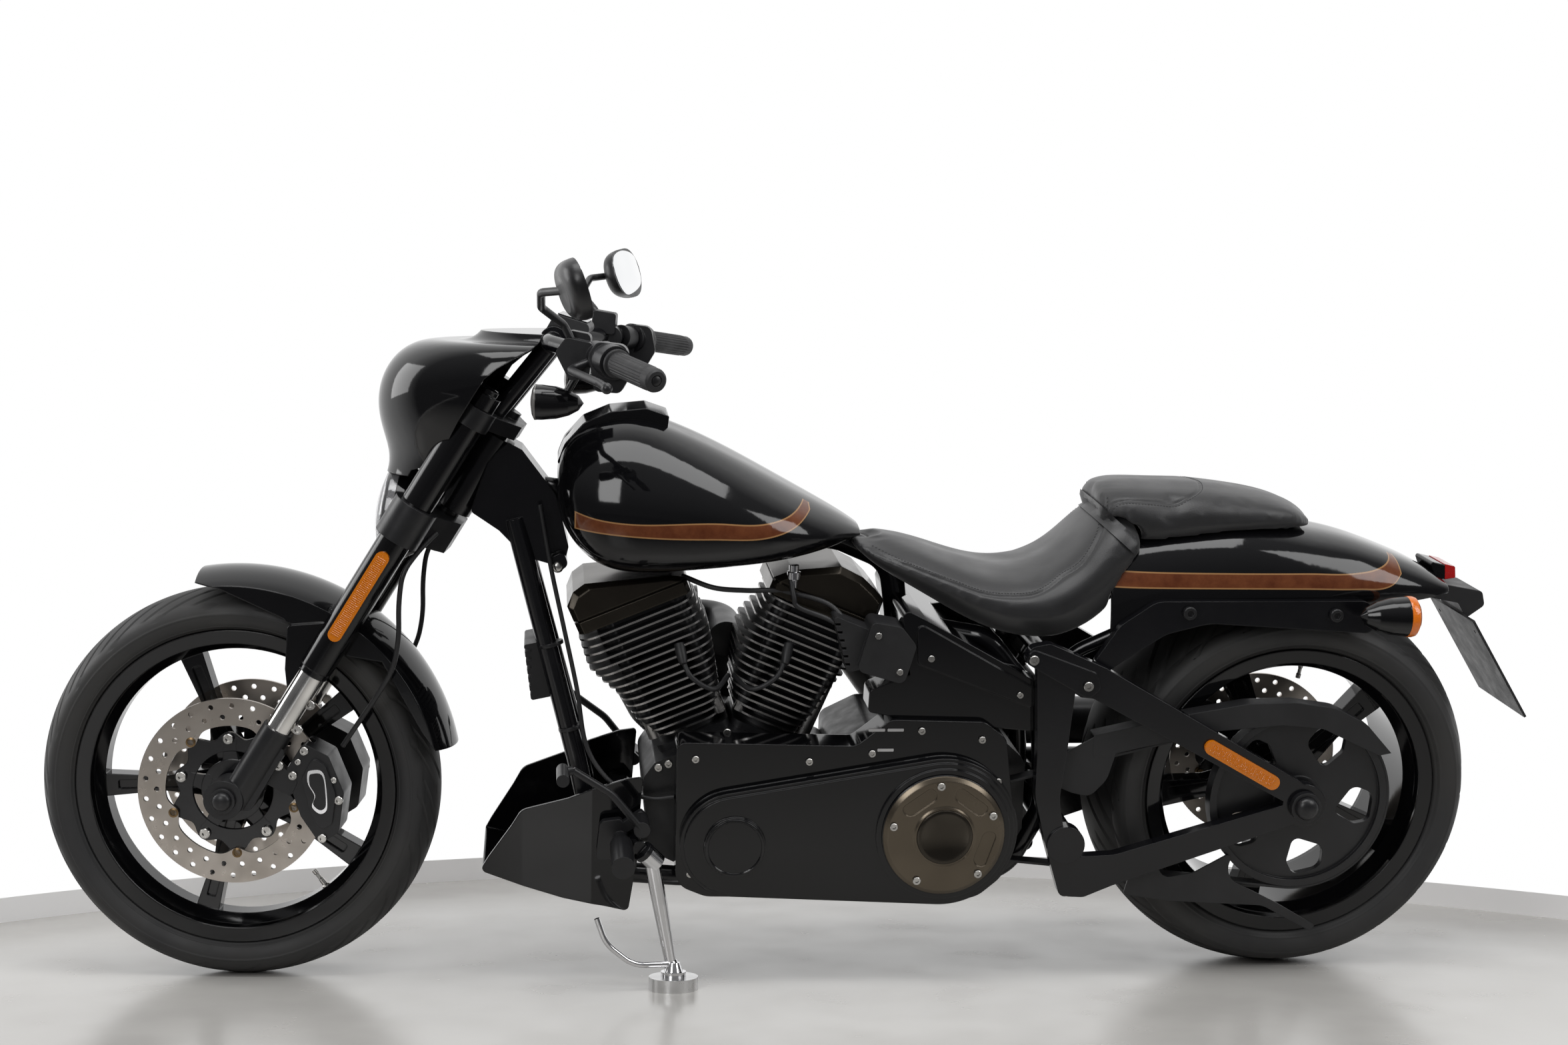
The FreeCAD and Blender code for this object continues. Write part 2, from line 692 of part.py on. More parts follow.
def front_fender(*blockers):
    """A close shell over the tyre with cut-back sides, bolted to an ear on each fork leg."""
    top = FRONT_R + FENDER_GAP
    grow = top / FENDER_DRAWN_R
    face = fender_profile(FRONT_HALF_W + 12, top, top - 23, top - 65, 3.0)
    face.rotate(V(0, 0, FRONT_AXLE_Z), V(0, 1, 0), -10)
    shell = face.revolve(V(0, 0, FRONT_AXLE_Z), V(0, 1, 0), 89)
    trim = [
        (-220, 640), (-66, 652), (-20, 645), (41, 618), (88, 597, 10), (84, 566, 10), (120, 548), (160, 545),
        (238, 534), (300, 424), (322, 393), (420, 380), (330, 200), (0, 100), (-220, 300),
    ]
    shell = cut(shell, slab(from_axle(trim, grow), -100, 100))
    ears = []
    bracket = [(90, 590, 8), (150, 596, 8), (168, 545, 8), (128, 470, 8), (92, 462, 8), (86, 520, 6)]
    for side in (-1, 1):
        ears.append(slab(from_axle(bracket, grow), side * (FRONT_HALF_W + 10.5), side * (FORK_Y - UPPER_R - SEAT_GAP)))
    return cut(fuse([shell] + ears), *blockers)


def brake_hose(side, *blockers):
    """One hose from the lower clamp down behind the fork leg to its caliper."""
    y = side * (FORK_Y + 5)
    route = [
        V(322, side * 70, 741), V(300, side * 92, 718), V(276, y, 684), V(270, y, 634), V(271, y, 580), V(262, y, 530),
        V(234, side * (FORK_Y - 4), 484), V(204, side * (FORK_Y - 20), 440), V(176, side * (FORK_Y - 28), 398),
    ]
    radii = []
    for i in range(1, len(route) - 1):
        before = route[i] - route[i - 1]
        after = route[i + 1] - route[i]
        turn = before.getAngle(after)
        radii.append(0.45 * min(before.Length, after.Length) / math.tan(turn / 2))
    print("hose radii", [round(r) for r in radii])
    return cut(tube(route, radii, HOSE_R), *blockers)


def brake_hoses(*blockers):
    return Part.makeCompound([brake_hose(-1, *blockers), brake_hose(1, *blockers)])


def fork_reflectors():
    bars = []
    for side in (-1, 1):
        out = side * (FORK_Y + UPPER_R + SEAT_GAP)
        low = fork_point(322, FORK_SET)
        high = fork_point(462, FORK_SET)
        body = fuse([
            cyl_y(low.x, low.z, 11, out, out + side * 7),
            cyl_y(high.x, high.z, 11, out, out + side * 7),
            bar_between(low, high, 11, out, out + side * 7),
        ])
        bars.append(body)
    return Part.makeCompound(bars)


def bar_between(a, b, half, y0, y1):
    """A straight flat bar between two points of a side view."""
    along = V(b.x - a.x, 0, b.z - a.z).normalize()
    across = V(along.z, 0, -along.x) * half
    pts = [a + across, b + across, b - across, a - across]
    return slab([(p.x, p.z) for p in pts], y0, y1)


# Engine

def leaned_point(side, u, t):
    """Cylinder coordinates: t up the bore's axis from the crank, u square behind it."""
    a = rad(V_HALF_DEG) * side
    return (CRANK_X + t * math.sin(a) + u * math.cos(a), CRANK_Z + t * math.cos(a) - u * math.sin(a))


def engine_cases():
    """Crankcase with its two decks, gearbox and the ribbed cam cover, cast as one outline."""
    deck = DECK_T / math.cos(rad(V_HALF_DEG))
    f0 = leaned_point(-1, -72, DECK_T)
    r0 = leaned_point(1, 72, DECK_T)
    crankcase = slab([
        (652, 232, 40), (640, 352, 24), (f0[0], f0[1], 8), (CRANK_X, CRANK_Z + deck), (r0[0], r0[1], 8),
        (952, 372, 20), (968, 300, 20), (930, 210, 40), (700, 208, 40),
    ], -CASE_Y, CASE_Y)
    gearbox = slab([
        (950, 222, 10), (950, 398, 20), (1010, 428, 24), (1210, 428, 30), (1262, 380, 30), (1262, 240, 30), (1220, 212, 20),
    ], -CASE_Y, CASE_Y + 13)
    sprocket = cyl_y(SPROCKET_X, CLUTCH_Z, SPROCKET_R, PULLEY_Y - PULLEY_W / 2, -CASE_Y)
    cam = slab([
        (690, 240, 50), (676, 330, 40), (720, 392, 40), (846, 392, 40), (890, 330, 40), (876, 240, 50), (783, 196, 60),
    ], CASE_Y, CASE_Y + 33)
    cam_boss = cyl_y(CRANK_X, CRANK_Z + 20, 52, CASE_Y + 33, CASE_Y + 41)
    return fuse([crankcase, gearbox, sprocket, cam, cam_boss])


# Where the fins end, each side of the bore's axis, by distance from the crank
FRONT_FIN_ENDS = ((168, -52, 55), (187, -68, 62), (206, -74, 67), (263, -87, 80), (290, -101, 86), (322, -115, 91),
                  (400, -108, 82))
REAR_FIN_ENDS = ((168, -64, 46), (191, -76, 52), (219, -89, 60), (251, -99, 64), (279, -106, 69), (303, -110, 78),
                 (342, -96, 79), (400, -90, 77))


def head_top(side):
    """Where the rocker box sits, from the crank. The rear one sits a little lower."""
    drop = ROCKER_DROP if side > 0 else 0.0
    return FIN_START + (BARREL_FINS + HEAD_FINS) * FIN_PITCH - drop


def bore_axes(side):
    a = rad(V_HALF_DEG) * side
    return V(math.sin(a), 0, math.cos(a)), V(math.cos(a), 0, -math.sin(a))


def bore_plate(side, t, thick, u0, u1, y_half, corner):
    """A round-cornered plate square to one cylinder's bore."""
    along, across = bore_axes(side)
    start = V(CRANK_X, 0, CRANK_Z) + along * t
    pts = [start + across * u + V(0, y, 0) for u, y in ((u0, -y_half), (u1, -y_half), (u1, y_half), (u0, y_half))]
    return Part.Face(rounded_wire(pts, [corner] * 4)).extrude(along * thick)


def fin_ends(side, t):
    """The fin's two ends at a level, read between the given ones."""
    table = FRONT_FIN_ENDS if side < 0 else REAR_FIN_ENDS
    for low, high in zip(table, table[1:]):
        if t <= high[0]:
            k = (t - low[0]) / (high[0] - low[0])
            return low[1] + k * (high[1] - low[1]), low[2] + k * (high[2] - low[2])
    return table[-1][1], table[-1][2]


def exhaust_port(side):
    """The middle of a head's exhaust flange, on the machine's right."""
    x, z = leaned_point(side, 26 * side, PORT_T)
    return V(x, FIN_HALF + 6, z)


def cylinder(side):
    """Finned barrel and head of one cylinder. The fins widen up to the head's joint."""
    along, across = bore_axes(side)
    base = V(CRANK_X, 0, CRANK_Z) + along * DECK_T
    head_t = FIN_START + BARREL_FINS * FIN_PITCH
    parts = [Part.makeCylinder(58, head_t - DECK_T, base, along)]
    parts.append(bore_plate(side, DECK_T, 12, -62, 62, 70, 16))
    for i in range(BARREL_FINS + HEAD_FINS):
        t = FIN_START + i * FIN_PITCH
        u0, u1 = fin_ends(side, t)
        shrink = 8.0 * max(0, 3 - i) / 3
        parts.append(bore_plate(side, t, FIN_T, u0, u1, FIN_HALF - shrink, 34))
    parts.append(bore_plate(side, head_t, head_top(side) - head_t, -80, 74, HEAD_HALF, 16))
    port = exhaust_port(side)
    parts.append(cyl_y(port.x, port.z, PIPE_R + 6, 0, port.y))
    for u in (-58, 54):
        post = Part.makeCylinder(11, head_top(side) - FIN_START, V(CRANK_X, 0, CRANK_Z) + along * FIN_START, along)
        post.translate(across * u)
        for y in (-FIN_HALF + 26, FIN_HALF - 26):
            stud = post.copy()
            stud.translate(V(0, y, 0))
            parts.append(stud)
    return fuse(parts)


def rocker_box(side):
    """The two-storey rocker cover: bevelled ends, a sloping lid and the joint between its storeys."""
    along, across = bore_axes(side)
    o = V(CRANK_X, 0, CRANK_Z) + along * head_top(side)
    if side < 0:
        line = [(-106, 0), (-107, 50), (-90, 68), (-68, 74), (66, 34), (84, 24), (84, 0)]
    else:
        line = [(-98, 0), (-99, 24), (-76, 46), (-6, 82), (34, 79), (62, 68), (80, 58), (84, 0)]
    rows = []
    for grow, drop, y in ((0.92, 0.88, -FIN_HALF), (1.0, 1.0, 12 - FIN_HALF), (1.0, 1.0, FIN_HALF - 12), (0.92, 0.88, FIN_HALF)):
        pts = [o + along * (t * drop) + across * (u * grow) for u, t in line]
        pts = [V(p.x, y, p.z) for p in pts]
        rows.append(Part.makePolygon(pts + [pts[0]]))
    body = Part.makeLoft(rows, True, True)
    t = head_top(side) + 20
    wide = bore_plate(side, t, 3, -140, 140, FIN_HALF + 20, 0)
    inner = bore_plate(side, t, 3, line[0][0] + 4, line[-1][0] - 4, FIN_HALF - 5, 14)
    return cut(body, cut(wide, inner))


def rocker_boxes():
    return Part.makeCompound([rocker_box(-1), rocker_box(1)])


def primary_cover():
    """The long left cover: flat flange, raised belt-shaped bulge, front boss and clutch ring."""
    flange_y = PRIMARY_OUT + 24
    outline = [
        (692, 196, 34), (690, 432, 14), (974, 425, 24), (1028, 468, 24), (1180, 464, 24), (1216, 436, 20),
        (1226, 360, 30), (1238, 290, 50), (1222, 206, 50), (1176, 167, 50), (740, 176, 44),
    ]
    body = slab(outline, flange_y, PRIMARY_IN)
    r_a = 86.0
    r_b = 122.0
    dx = CLUTCH_X - CRANK_X
    tilt = math.asin((r_b - r_a) / dx)
    slope = math.atan2(CLUTCH_Z - CRANK_Z, dx)

    def tangent(x, z, r, up):
        a = slope + up * (math.pi / 2 + tilt)
        return (x + r * math.cos(a), z + r * math.sin(a))

    parts = [body]
    for grow, y0, y1 in ((0, flange_y, PRIMARY_OUT + 6), (-6, PRIMARY_OUT + 6, PRIMARY_OUT)):
        a = r_a + grow
        b = r_b + grow
        quad = [
            tangent(CRANK_X, CRANK_Z, a, 1), tangent(CLUTCH_X, CLUTCH_Z, b, 1),
            tangent(CLUTCH_X, CLUTCH_Z, b, -1), tangent(CRANK_X, CRANK_Z, a, -1),
        ]
        parts.append(slab(quad, y0, y1))
        parts.append(cyl_y(CRANK_X, CRANK_Z, a, y0, y1))
        parts.append(cyl_y(CLUTCH_X, CLUTCH_Z, b, y0, y1))
    parts.append(cyl_y(CRANK_X, CRANK_Z, 49, PRIMARY_OUT, PRIMARY_OUT - 6))
    parts.append(cyl_y(CLUTCH_X, CLUTCH_Z, 108, PRIMARY_OUT, PRIMARY_OUT - 5))
    solid = fuse(parts)
    room = SPROCKET_R + BELT_T + 10
    x_end = CLUTCH_X + 200
    pocket = slab([
        (SPROCKET_X - room, CLUTCH_Z - room, 20), (SPROCKET_X - room, CLUTCH_Z + room, 20),
        (x_end, CLUTCH_Z + room + 40), (x_end, CLUTCH_Z - room - 40),
    ], PULLEY_Y - PULLEY_W / 2 - 4, PRIMARY_IN + 1)
    return cut(solid, pocket)


def derby_cover():
    """The clutch access cover: bevelled rim, dished ring with three scallops, raised centre."""
    face_y = PRIMARY_OUT - 5
    pts = [(face_y, 0), (face_y, DERBY_R), (face_y - 5, DERBY_R), (face_y - 10, DERBY_R - 7), (face_y - 10, 50),
           (face_y - 12, 47), (face_y - 12, 0)]
    body = spin_y(pts, CLUTCH_X, CLUTCH_Z)
    for i in range(3):
        pad = slab([(58, -30, 12), (80, -30, 8), (80, 30, 8), (58, 30, 12)], face_y - 14, face_y - 8)
        pad.rotate(V(0, 0, 0), V(0, 1, 0), -(126 - 72 * i))
        pad.translate(V(CLUTCH_X, 0, CLUTCH_Z))
        body = cut(body, pad)
    return body


def air_cleaner(*blockers):
    """The forward cone filter on its elbow, on the right between the cylinders."""
    y = CASE_Y + 86
    elbow = tube([(CRANK_X, 60, 540), (CRANK_X, y, 545), (730, y, 545)], (40,), 30)
    cone = rod((742, y, 545), (626, y, 545), 54, 43)
    nose = rod((626, y, 545), (616, y, 545), 38, 32)
    stay = slab([(768, 384), (768, 530), (798, 530), (798, 384)], CASE_Y + 7, CASE_Y + 15)
    return cut(fuse([elbow, cone, nose, stay]), *blockers)


def exhaust(*blockers):
    """Two header pipes on the right and their slash-cut mufflers, one above the other."""
    a = exhaust_port(-1)
    b = exhaust_port(1)
    front = tube([
        a, (a.x, a.y + 28, a.z), (a.x - 20, a.y + 30, a.z - 100), (650, 156, 388), (724, PIPE_Y - 20, 300),
        (834, PIPE_Y, 252), (1160, PIPE_Y, 252),
    ], (24, 60, 70, 70, 90), PIPE_R)
    rear = tube([
        b, (b.x, b.y + 28, b.z), (b.x + 56, b.y + 34, b.z - 76), (1044, 186, 424), (1094, PIPE_Y, 356), (1180, PIPE_Y, 346),
    ], (24, 50, 60, 60), PIPE_R)
    parts = [front, rear]
    for z, x0, x1 in ((252, 1130, 1530), (346, 1150, 1640)):
        body = fuse([
            rod((x0, PIPE_Y, z), (x0 + 70, PIPE_Y, z), 24, MUFFLER_R), rod((x0 + 70, PIPE_Y, z), (x1, PIPE_Y, z), MUFFLER_R),
        ])
        bore = rod((x1 - 60, PIPE_Y, z), (x1 + 5, PIPE_Y, z), MUFFLER_R - 8)
        low = z - MUFFLER_R - 10
        high = z + MUFFLER_R + 10
        slash = slab([(x1 - 50, low), (x1 + 60, low), (x1 + 60, high), (x1 + 20, high)], PIPE_Y - 60, PIPE_Y + 60)
        parts.append(cut(body, bore, slash))
    return cut(fuse(parts), *blockers)


# Frame and body

def frame():
    """Steering head, backbone, twin downtubes, lower rails and rear uprights, welded together."""
    head = fork_rod(LOWER_CLAMP[1] + 6, UPPER_CLAMP[0] - 6, AXIS_SET, 0, HEAD_R)
    neck = slab([(392, 850, 6), (366, 772, 6), (410, 742, 8), (450, 700, 10), (512, 682, 10), (520, 716, 6),
                 (500, 800, 20), (446, 872, 6), (424, 884, 4)], -33, 33)
    ears = slab([(486, 700, 10), (496, 672, 12), (520, 690, 10), (512, 712, 8)], -50, 50)
    parts = [head, neck, ears]
    parts.append(tube([(430, 0, 812), (960, 0, 726), (1044, 0, 690), (1062, 0, 560)], (80, 60), 20))
    for side in (-1, 1):
        parts.append(tube([
            (434, side * 24, 760), (536, side * DOWN_Y, 372), (574, side * RAIL_Y, 196), (700, side * RAIL_Y, RAIL_Z - 1),
            (1236, side * RAIL_Y, RAIL_Z), (1296, side * RAIL_Y, 300), (1284, side * RAIL_Y, 470), (1190, side * RAIL_Y, 586),
            (1056, side * 10, 590),
        ], (160, 60, 200, 70, 70, 70, 40), TUBE_R))
        parts.append(tube([(1262, side * 90, 440), (1330, side * 100, 560), (1440, side * 126, 620)], (80,), 11))
    parts.append(rod((1058, 0, 470), (1058, 0, 600), 20))
    parts.append(rod((592, -RAIL_Y, RAIL_Z + 2), (592, RAIL_Y, RAIL_Z + 2), 12))
    parts.append(rod((1270, -RAIL_Y, 236), (1270, RAIL_Y, 236), 14))
    parts.append(rod((1058, 0, 470), (1262, 0, 236), 14))
    lug = slab([(594, 186, 6), (590, 284, 8), (622, 290, 8), (636, 272, 8), (632, 186, 6)], -LUG_OUT, -LUG_IN)
    parts += both(lug)
    solid = fuse(parts + stand_bracket())
    return cut(solid, fork_rod(LOWER_CLAMP[0], UPPER_CLAMP[1], AXIS_SET, 0, STEM_R + RUN_GAP))


def stand_bracket():
    """The arm that carries the side stand: a bar from the rail's lug, a round plate and the pin."""
    n = STAND_AXIS / STAND_AXIS.Length
    low = STAND_PIVOT + n * (STAND_EYE_HALF + FLAT_GAP)
    plate = Part.makeCylinder(STAND_EYE_R + 1, STAND_LUG_T, low, n)
    pin = Part.makeCylinder(STAND_PIN_R, 2 * STAND_EYE_HALF, STAND_PIVOT - n * (STAND_EYE_HALF - STAND_CAP_T - 1), n)
    start = low + n * (STAND_BAR_R + 3)
    reach = V(616, -LUG_OUT + 6, 262) - start
    bar = Part.makeCylinder(STAND_BAR_R, reach.Length, start, reach)
    return [plate, pin, bar]


def tank_section(x, z_top, z_low, half):
    h = z_top - z_low
    side = [(0.30, 0.985), (0.66, 0.86), (0.93, 0.60), (1.0, 0.36), (0.90, 0.10), (0.58, 0.0)]
    right = [(x, half * a, z_low + h * b) for a, b in side]
    left = [(x, -p[1], p[2]) for p in reversed(right)]
    return spline_wire([(x, 0, z_top)] + right + left)


def fuel_tank(*blockers):
    rows = ((502, 846, 786, 66), (516, 888, 752, 112), (548, 912, 714, 142), (600, 926, 692, 160), (680, 912, 692, 167),
            (770, 872, 700, 162), (860, 824, 712, 140), (930, 786, 726, 100), (986, 752, 738, 44))
    solid = loft([tank_section(*row) for row in rows])
    tunnel = slab([(460, 640), (460, 846), (1010, 742), (1010, 640)], -36, 36)
    return cut(solid, tunnel, *blockers)


def tank_console(tank):
    """The raised dash strip that runs up the tank's nose to the filler cap."""
    line = [(500, 852, 4), (512, 884, 20), (542, 918, 20), (584, 936, 20), (640, 942, 10), (676, 930, 3),
            (672, 896, 3), (640, 894, 6), (560, 884, 6), (528, 850, 6)]
    strip = slab(line, -42, 42)
    return cut(strip, tank)


def cushion_section(x, z_top, z_low, half, crown):
    h = z_top - z_low
    side = [(0.42, 1.0 - 0.2 * crown), (0.80, 0.90 - 0.4 * crown), (1.0, 0.58), (0.97, 0.28), (0.84, 0.06), (0.45, 0.0)]
    right = [(x, half * a, z_low + h * b) for a, b in side]
    left = [(x, -p[1], p[2]) for p in reversed(right)]
    return spline_wire([(x, 0, z_top)] + right + left)


def rider_seat(*blockers):
    rows = ((968, 744, 728, 40), (1000, 738, 702, 82), (1060, 728, 668, 112), (1120, 710, 636, 132), (1180, 692, 608, 148),
            (1240, 688, 592, 156), (1296, 706, 590, 156), (1340, 744, 604, 150), (1372, 782, 624, 142), (1402, 796, 660, 132),
            (1430, 770, 716, 112))
    solid = loft([cushion_section(x, t, l, w, 0.2) for x, t, l, w in rows])
    return cut(solid, *blockers)


def pillion_seat(*blockers):
    rows = ((1366, 806, 760, 70), (1384, 822, 742, 96), (1440, 828, 730, 112), (1530, 826, 740, 112), (1620, 816, 750, 104),
            (1690, 800, 754, 90), (1732, 774, 754, 56))
    solid = loft([cushion_section(x, t + REAR_RISE, l + REAR_RISE, w, 0.2) for x, t, l, w in rows])
    return cut(solid, *blockers)


def fender_section(x, z_top, z_low, half):
    h = z_top - z_low
    side = [(0.45, 0.97), (0.80, 0.80), (0.97, 0.52), (1.0, 0.0)]
    right = [V(x, half * a, z_low + h * b) for a, b in side]
    left = [V(x, -p.y, p.z) for p in reversed(right)]
    pts = left + [V(x, 0, z_top)] + right
    curve = Part.BSplineCurve()
    curve.interpolate(Points=pts)
    return Part.Wire([curve.toShape(), Part.LineSegment(pts[-1], pts[0]).toShape()])


FENDER_ROWS = ((1384, 742, 556, 132), (1440, 762, 596, 134), (1530, 772, 614, 134), (1640, 771, 628, 134), (1737, 756, 636, 132),
    (1797, 744, 641, 129), (1857, 725, 648, 122), (1920, 700, 655, 108), (1958, 678, 660, 92))
FENDER_WALL = 4.0


def fender_form():
    """The fender filled in, which the cushions on it are cut to."""
    return loft([fender_section(*row) for row in fender_rows(0, 0)])


def fender_rows(wall, drop):
    """The fender's sections over the tyre as it is, thinned by a wall and drawn down at the mouth."""
    return [(x, t + REAR_RISE - wall, l + REAR_RISE - drop, w - wall) for x, t, l, w in FENDER_ROWS]


def rear_fender(*blockers):
    """A steel shell over the rear tyre that runs out flat to its tail."""
    rows = fender_rows(FENDER_WALL, 30)
    inner = loft([fender_section(*row) for row in rows])
    x0, top, low, half = rows[0]
    mouth = Part.Face(fender_section(x0 - 14, top, low, half)).extrude(V(15, 0, 0))
    return cut(fender_form(), inner, mouth, *blockers)


def raised(points, from_x=0.0):
    """Points of the tail, lifted with the tyre that they clear."""
    return [(p[0], p[1] + (REAR_RISE if p[0] > from_x else 0.0)) + tuple(p[2:]) for p in points]


def fender_struts(*blockers):
    """The long covers of the fender struts, one each side."""
    outline = [(1372, 540, 8), (1412, 566, 30), (1470, 604, 60), (1540, 622, 60), (1806, 606, 14), (1824, 634, 14),
               (1796, 660, 14), (1452, 658, 40), (1394, 618, 40), (1356, 560, 8)]
    left = slab(raised(outline, 1440), -151, -135)
    return Part.makeCompound([cut(s, *blockers) for s in both(left)])


def rear_lamps(*blockers):
    lamps = []
    for side in (-1, 1):
        lamp = bullet(1815, side * 200, 647 + REAR_RISE, 32, 96, 1)
        stalk = rod((1800, side * 152, 640 + REAR_RISE), (1806, side * 200, 644 + REAR_RISE), 9)
        lamps.append(cut(fuse([lamp, stalk]), *blockers))
    tail = slab(raised([(1946, 700, 4), (1990, 690, 8), (1992, 672, 6), (1960, 668, 4)]), -34, 34)
    lamps.append(cut(tail, *blockers))
    return Part.makeCompound(lamps)


def plate_bracket(*blockers):
    """The bent arm behind the fender, its lamp hood and the bare number board."""
    arm = slab(raised([
        (1884, 711), (1930, 692), (1956, 666, 6), (2036, 652, 8), (2042, 628, 8), (2012, 606, 6),
        (1996, 632, 8), (1952, 640, 6), (1900, 646, 8),
    ]), -48, 48)
    top = V(BOARD_TOP[0], 0, BOARD_TOP[1] + REAR_RISE)
    end = V(BOARD_END[0], 0, BOARD_END[1] + REAR_RISE)
    board = bar_between(top, end, BOARD_T / 2, -BOARD_HALF_W, BOARD_HALF_W)
    bores = [board_bore(y) for y in (-BOARD_BORE_Y, BOARD_BORE_Y)]
    return cut(fuse([arm, board]), *(bores + list(blockers)))


def board_frame():
    """Where a plate screw's bore opens, and the way it points."""
    top = V(BOARD_TOP[0], 0, BOARD_TOP[1] + REAR_RISE)
    along = (V(BOARD_END[0], 0, BOARD_END[1] + REAR_RISE) - top).normalize()
    out = V(-along.z, 0, along.x)
    return top + along * BOARD_BORE_DROP + out * (BOARD_T / 2), out


def board_bore(y):
    mouth, out = board_frame()
    start = mouth + V(0, y, 0) + out
    return Part.makeCylinder(BOARD_BORE_R, BOARD_T + 2, start, out * -1)


def oil_tank(*blockers):
    """The side box behind the engine with a raised side cover and a low arm over the primary."""
    body = slab([(1040, 648, 10), (1082, 627, 24), (1214, 554, 60), (1280, 516, 14), (1290, 488, 10), (1268, 444, 16),
                 (1092, 459, 20), (1060, 470, 14), (1058, 540, 20)], -SIDE_Y, SIDE_Y)
    arm = slab([(993, 477, 8), (994, 512, 10), (1066, 541), (1080, 500), (1070, 462)], -SIDE_Y, 56 - SIDE_Y)
    cover = slab([(1070, 556, 8), (1256, 484, 8), (1274, 500, 10), (1268, 512, 12), (1210, 544, 40), (1082, 616, 20),
                  (1066, 622, 8)], -SIDE_Y - 4, -SIDE_Y)
    return cut(fuse([body, arm] + both(cover)), *blockers)


def coil_box(*blockers):
    """The round-cornered ignition box on the left, with the ribbed unit in front of it."""
    y0 = -SIDE_Y - 8
    body = slab([(994, 626, 10), (1042, 617, 14), (1066, 587, 12), (1048, 524, 12), (972, 546, 12)], y0, y0 + 64)
    front = slab([(932, 634, 5), (1002, 606), (990, 548), (958, 540, 5), (946, 590, 12)], y0 + 12, y0 + 60)
    ribs = []
    for i in range(6):
        z = 552 + i * 13
        x = 941 + (634 - z) * 0.26
        ribs.append(slab([(900, z), (x, z), (x, z + 4), (900, z + 4)], y0, y0 + 80))
    return cut(fuse([body, cut(front, *ribs)]), *blockers)


def chin_spoiler(*blockers):
    """The open scoop under the downtubes: two flaring side panels joined by the floor."""
    side = [(382, 196, 8), (453, 176, 60), (514, 160, 60), (580, 149, 60), (619, 140, 8), (628, 200), (640, 365, 6),
            (610, 361, 20), (561, 345, 60), (521, 327, 60), (448, 304, 24), (432, 276, 20), (396, 221, 12)]
    room = [(300, 210), (388, 204), (453, 182), (514, 166), (580, 155), (700, 130), (700, 420), (300, 420)]
    plan = ((300, 71), (378, 92), (450, 112), (560, 132), (700, 136))

    def flare(grow):
        right = [V(x, w + grow, CHIN_LOW) for x, w in plan]
        left = [V(p.x, -p.y, p.z) for p in reversed(right)]
        face = Part.Face(Part.makePolygon(right + left + [right[0]]))
        return face.extrude(V(0, 0, CHIN_HIGH - CHIN_LOW))

    outer = flare(0).common(slab(side, -200, 200))
    inner = flare(-CHIN_WALL).common(slab(room, -200, 200))
    return cut(outer, inner, *blockers)


def regulator(*blockers):
    body = slab([(462, 466, 4), (500, 474, 4), (488, 566, 4), (450, 558, 4)], -46, 46)
    slots = []
    for i in range(6):
        z = 476 + i * 14
        slots.append(slab([(440, z), (462, z), (462, z + 6), (440, z + 6)], -60, 60))
    return cut(body, *(slots + list(blockers)))


def foot_controls(*blockers):
    """Forward footpegs on their brackets, with the shift lever left and the brake lever right."""
    pieces = []
    for side in (-1, 1):
        mount = slab([(566, 236, 8), (572, 300, 10), (606, 304, 8), (616, 276, 6), (600, 236, 8)],
                     side * 144, side * 158)
        post = cyl_y(604, 272, 12, side * (LUG_OUT + 0.02), side * 200)
        peg = cyl_y(604, 276, 18, side * 200, side * 300)
        hub = cyl_y(636, 302, 13, side * 158, side * 206)
        neck = slab([(596, 290, 5), (636, 318, 5), (650, 304, 5), (608, 278, 3)], side * 144, side * 158)
        lever = tube([(636, side * 200, 302), (588, side * 206, 362), (528, side * 216, 404)], (60,), 6)
        toe = cyl_y(512, 402, 10, side * 205, side * 262)
        link = rod((528, side * 216, 404), (512, side * 218, 402), 7)
        pieces.append(cut(fuse([mount, post, peg, hub, neck, lever, toe, link]), *blockers))
    return Part.makeCompound(pieces)


# Rear end

def tyre_room():
    """The space that the rear tyre turns in."""
    half = REAR_HALF_W + MOVE_GAP
    return cyl_y(REAR_X, REAR_AXLE_Z, REAR_R + MOVE_GAP, -half, half)


def swingarm(*blockers):
    """Two triangulated sides joined by the pivot tube and an upper cross tube."""
    parts = []
    for side in (-1, 1):
        y0 = side * (ARM_Y - ARM_HALF_T)
        y1 = side * (ARM_Y + ARM_HALF_T)
        upper = slab([(1236, 566, 10), (1246, 590, 12), (1276, 596, 20), (1368, 556, 20), (1700, 366, 20), (1722, 350, 8),
                      (1694, 322, 8), (1350, 506, 20), (1330, 508, 10)], y0, y1)
        lower = slab([(1316, 174, 12), (1322, 240, 14), (1400, 244, 30), (1696, 332, 20), (1714, 300, 8), (1400, 192, 30),
                      (1352, 172, 20)], y0, y1)
        front = slab([(1256, 572, 6), (1322, 540, 6), (1312, 416, 90), (1304, 339, 90), (1318, 264, 60), (1350, 184, 12),
                      (1314, 170, 12), (1284, 266, 60), (1264, 345, 80), (1264, 420, 90)], y0, y1)
        boss = cyl_y(PIVOT_X, PIVOT_Z, 31, y0, y1 + side * 4)
        end = cyl_y(REAR_X, REAR_AXLE_Z, 36, y0, y1)
        plate = slab([(1236, 566, 8), (1246, 588, 10), (1354, 548, 12), (1360, 522, 10), (1342, 506, 10)], y1, y1 + side * 4)
        parts += [upper, lower, front, boss, end, plate]
    parts.append(cyl_y(PIVOT_X, PIVOT_Z, 24, -ARM_Y, ARM_Y))
    parts.append(cyl_y(1300, 540, 15, -ARM_Y, ARM_Y))
    solid = fuse(parts)
    bore = cyl_y(REAR_X, REAR_AXLE_Z, REAR_AXLE_R + 0.05, -200, 200)
    return cut(solid, bore, tyre_room(), *blockers)


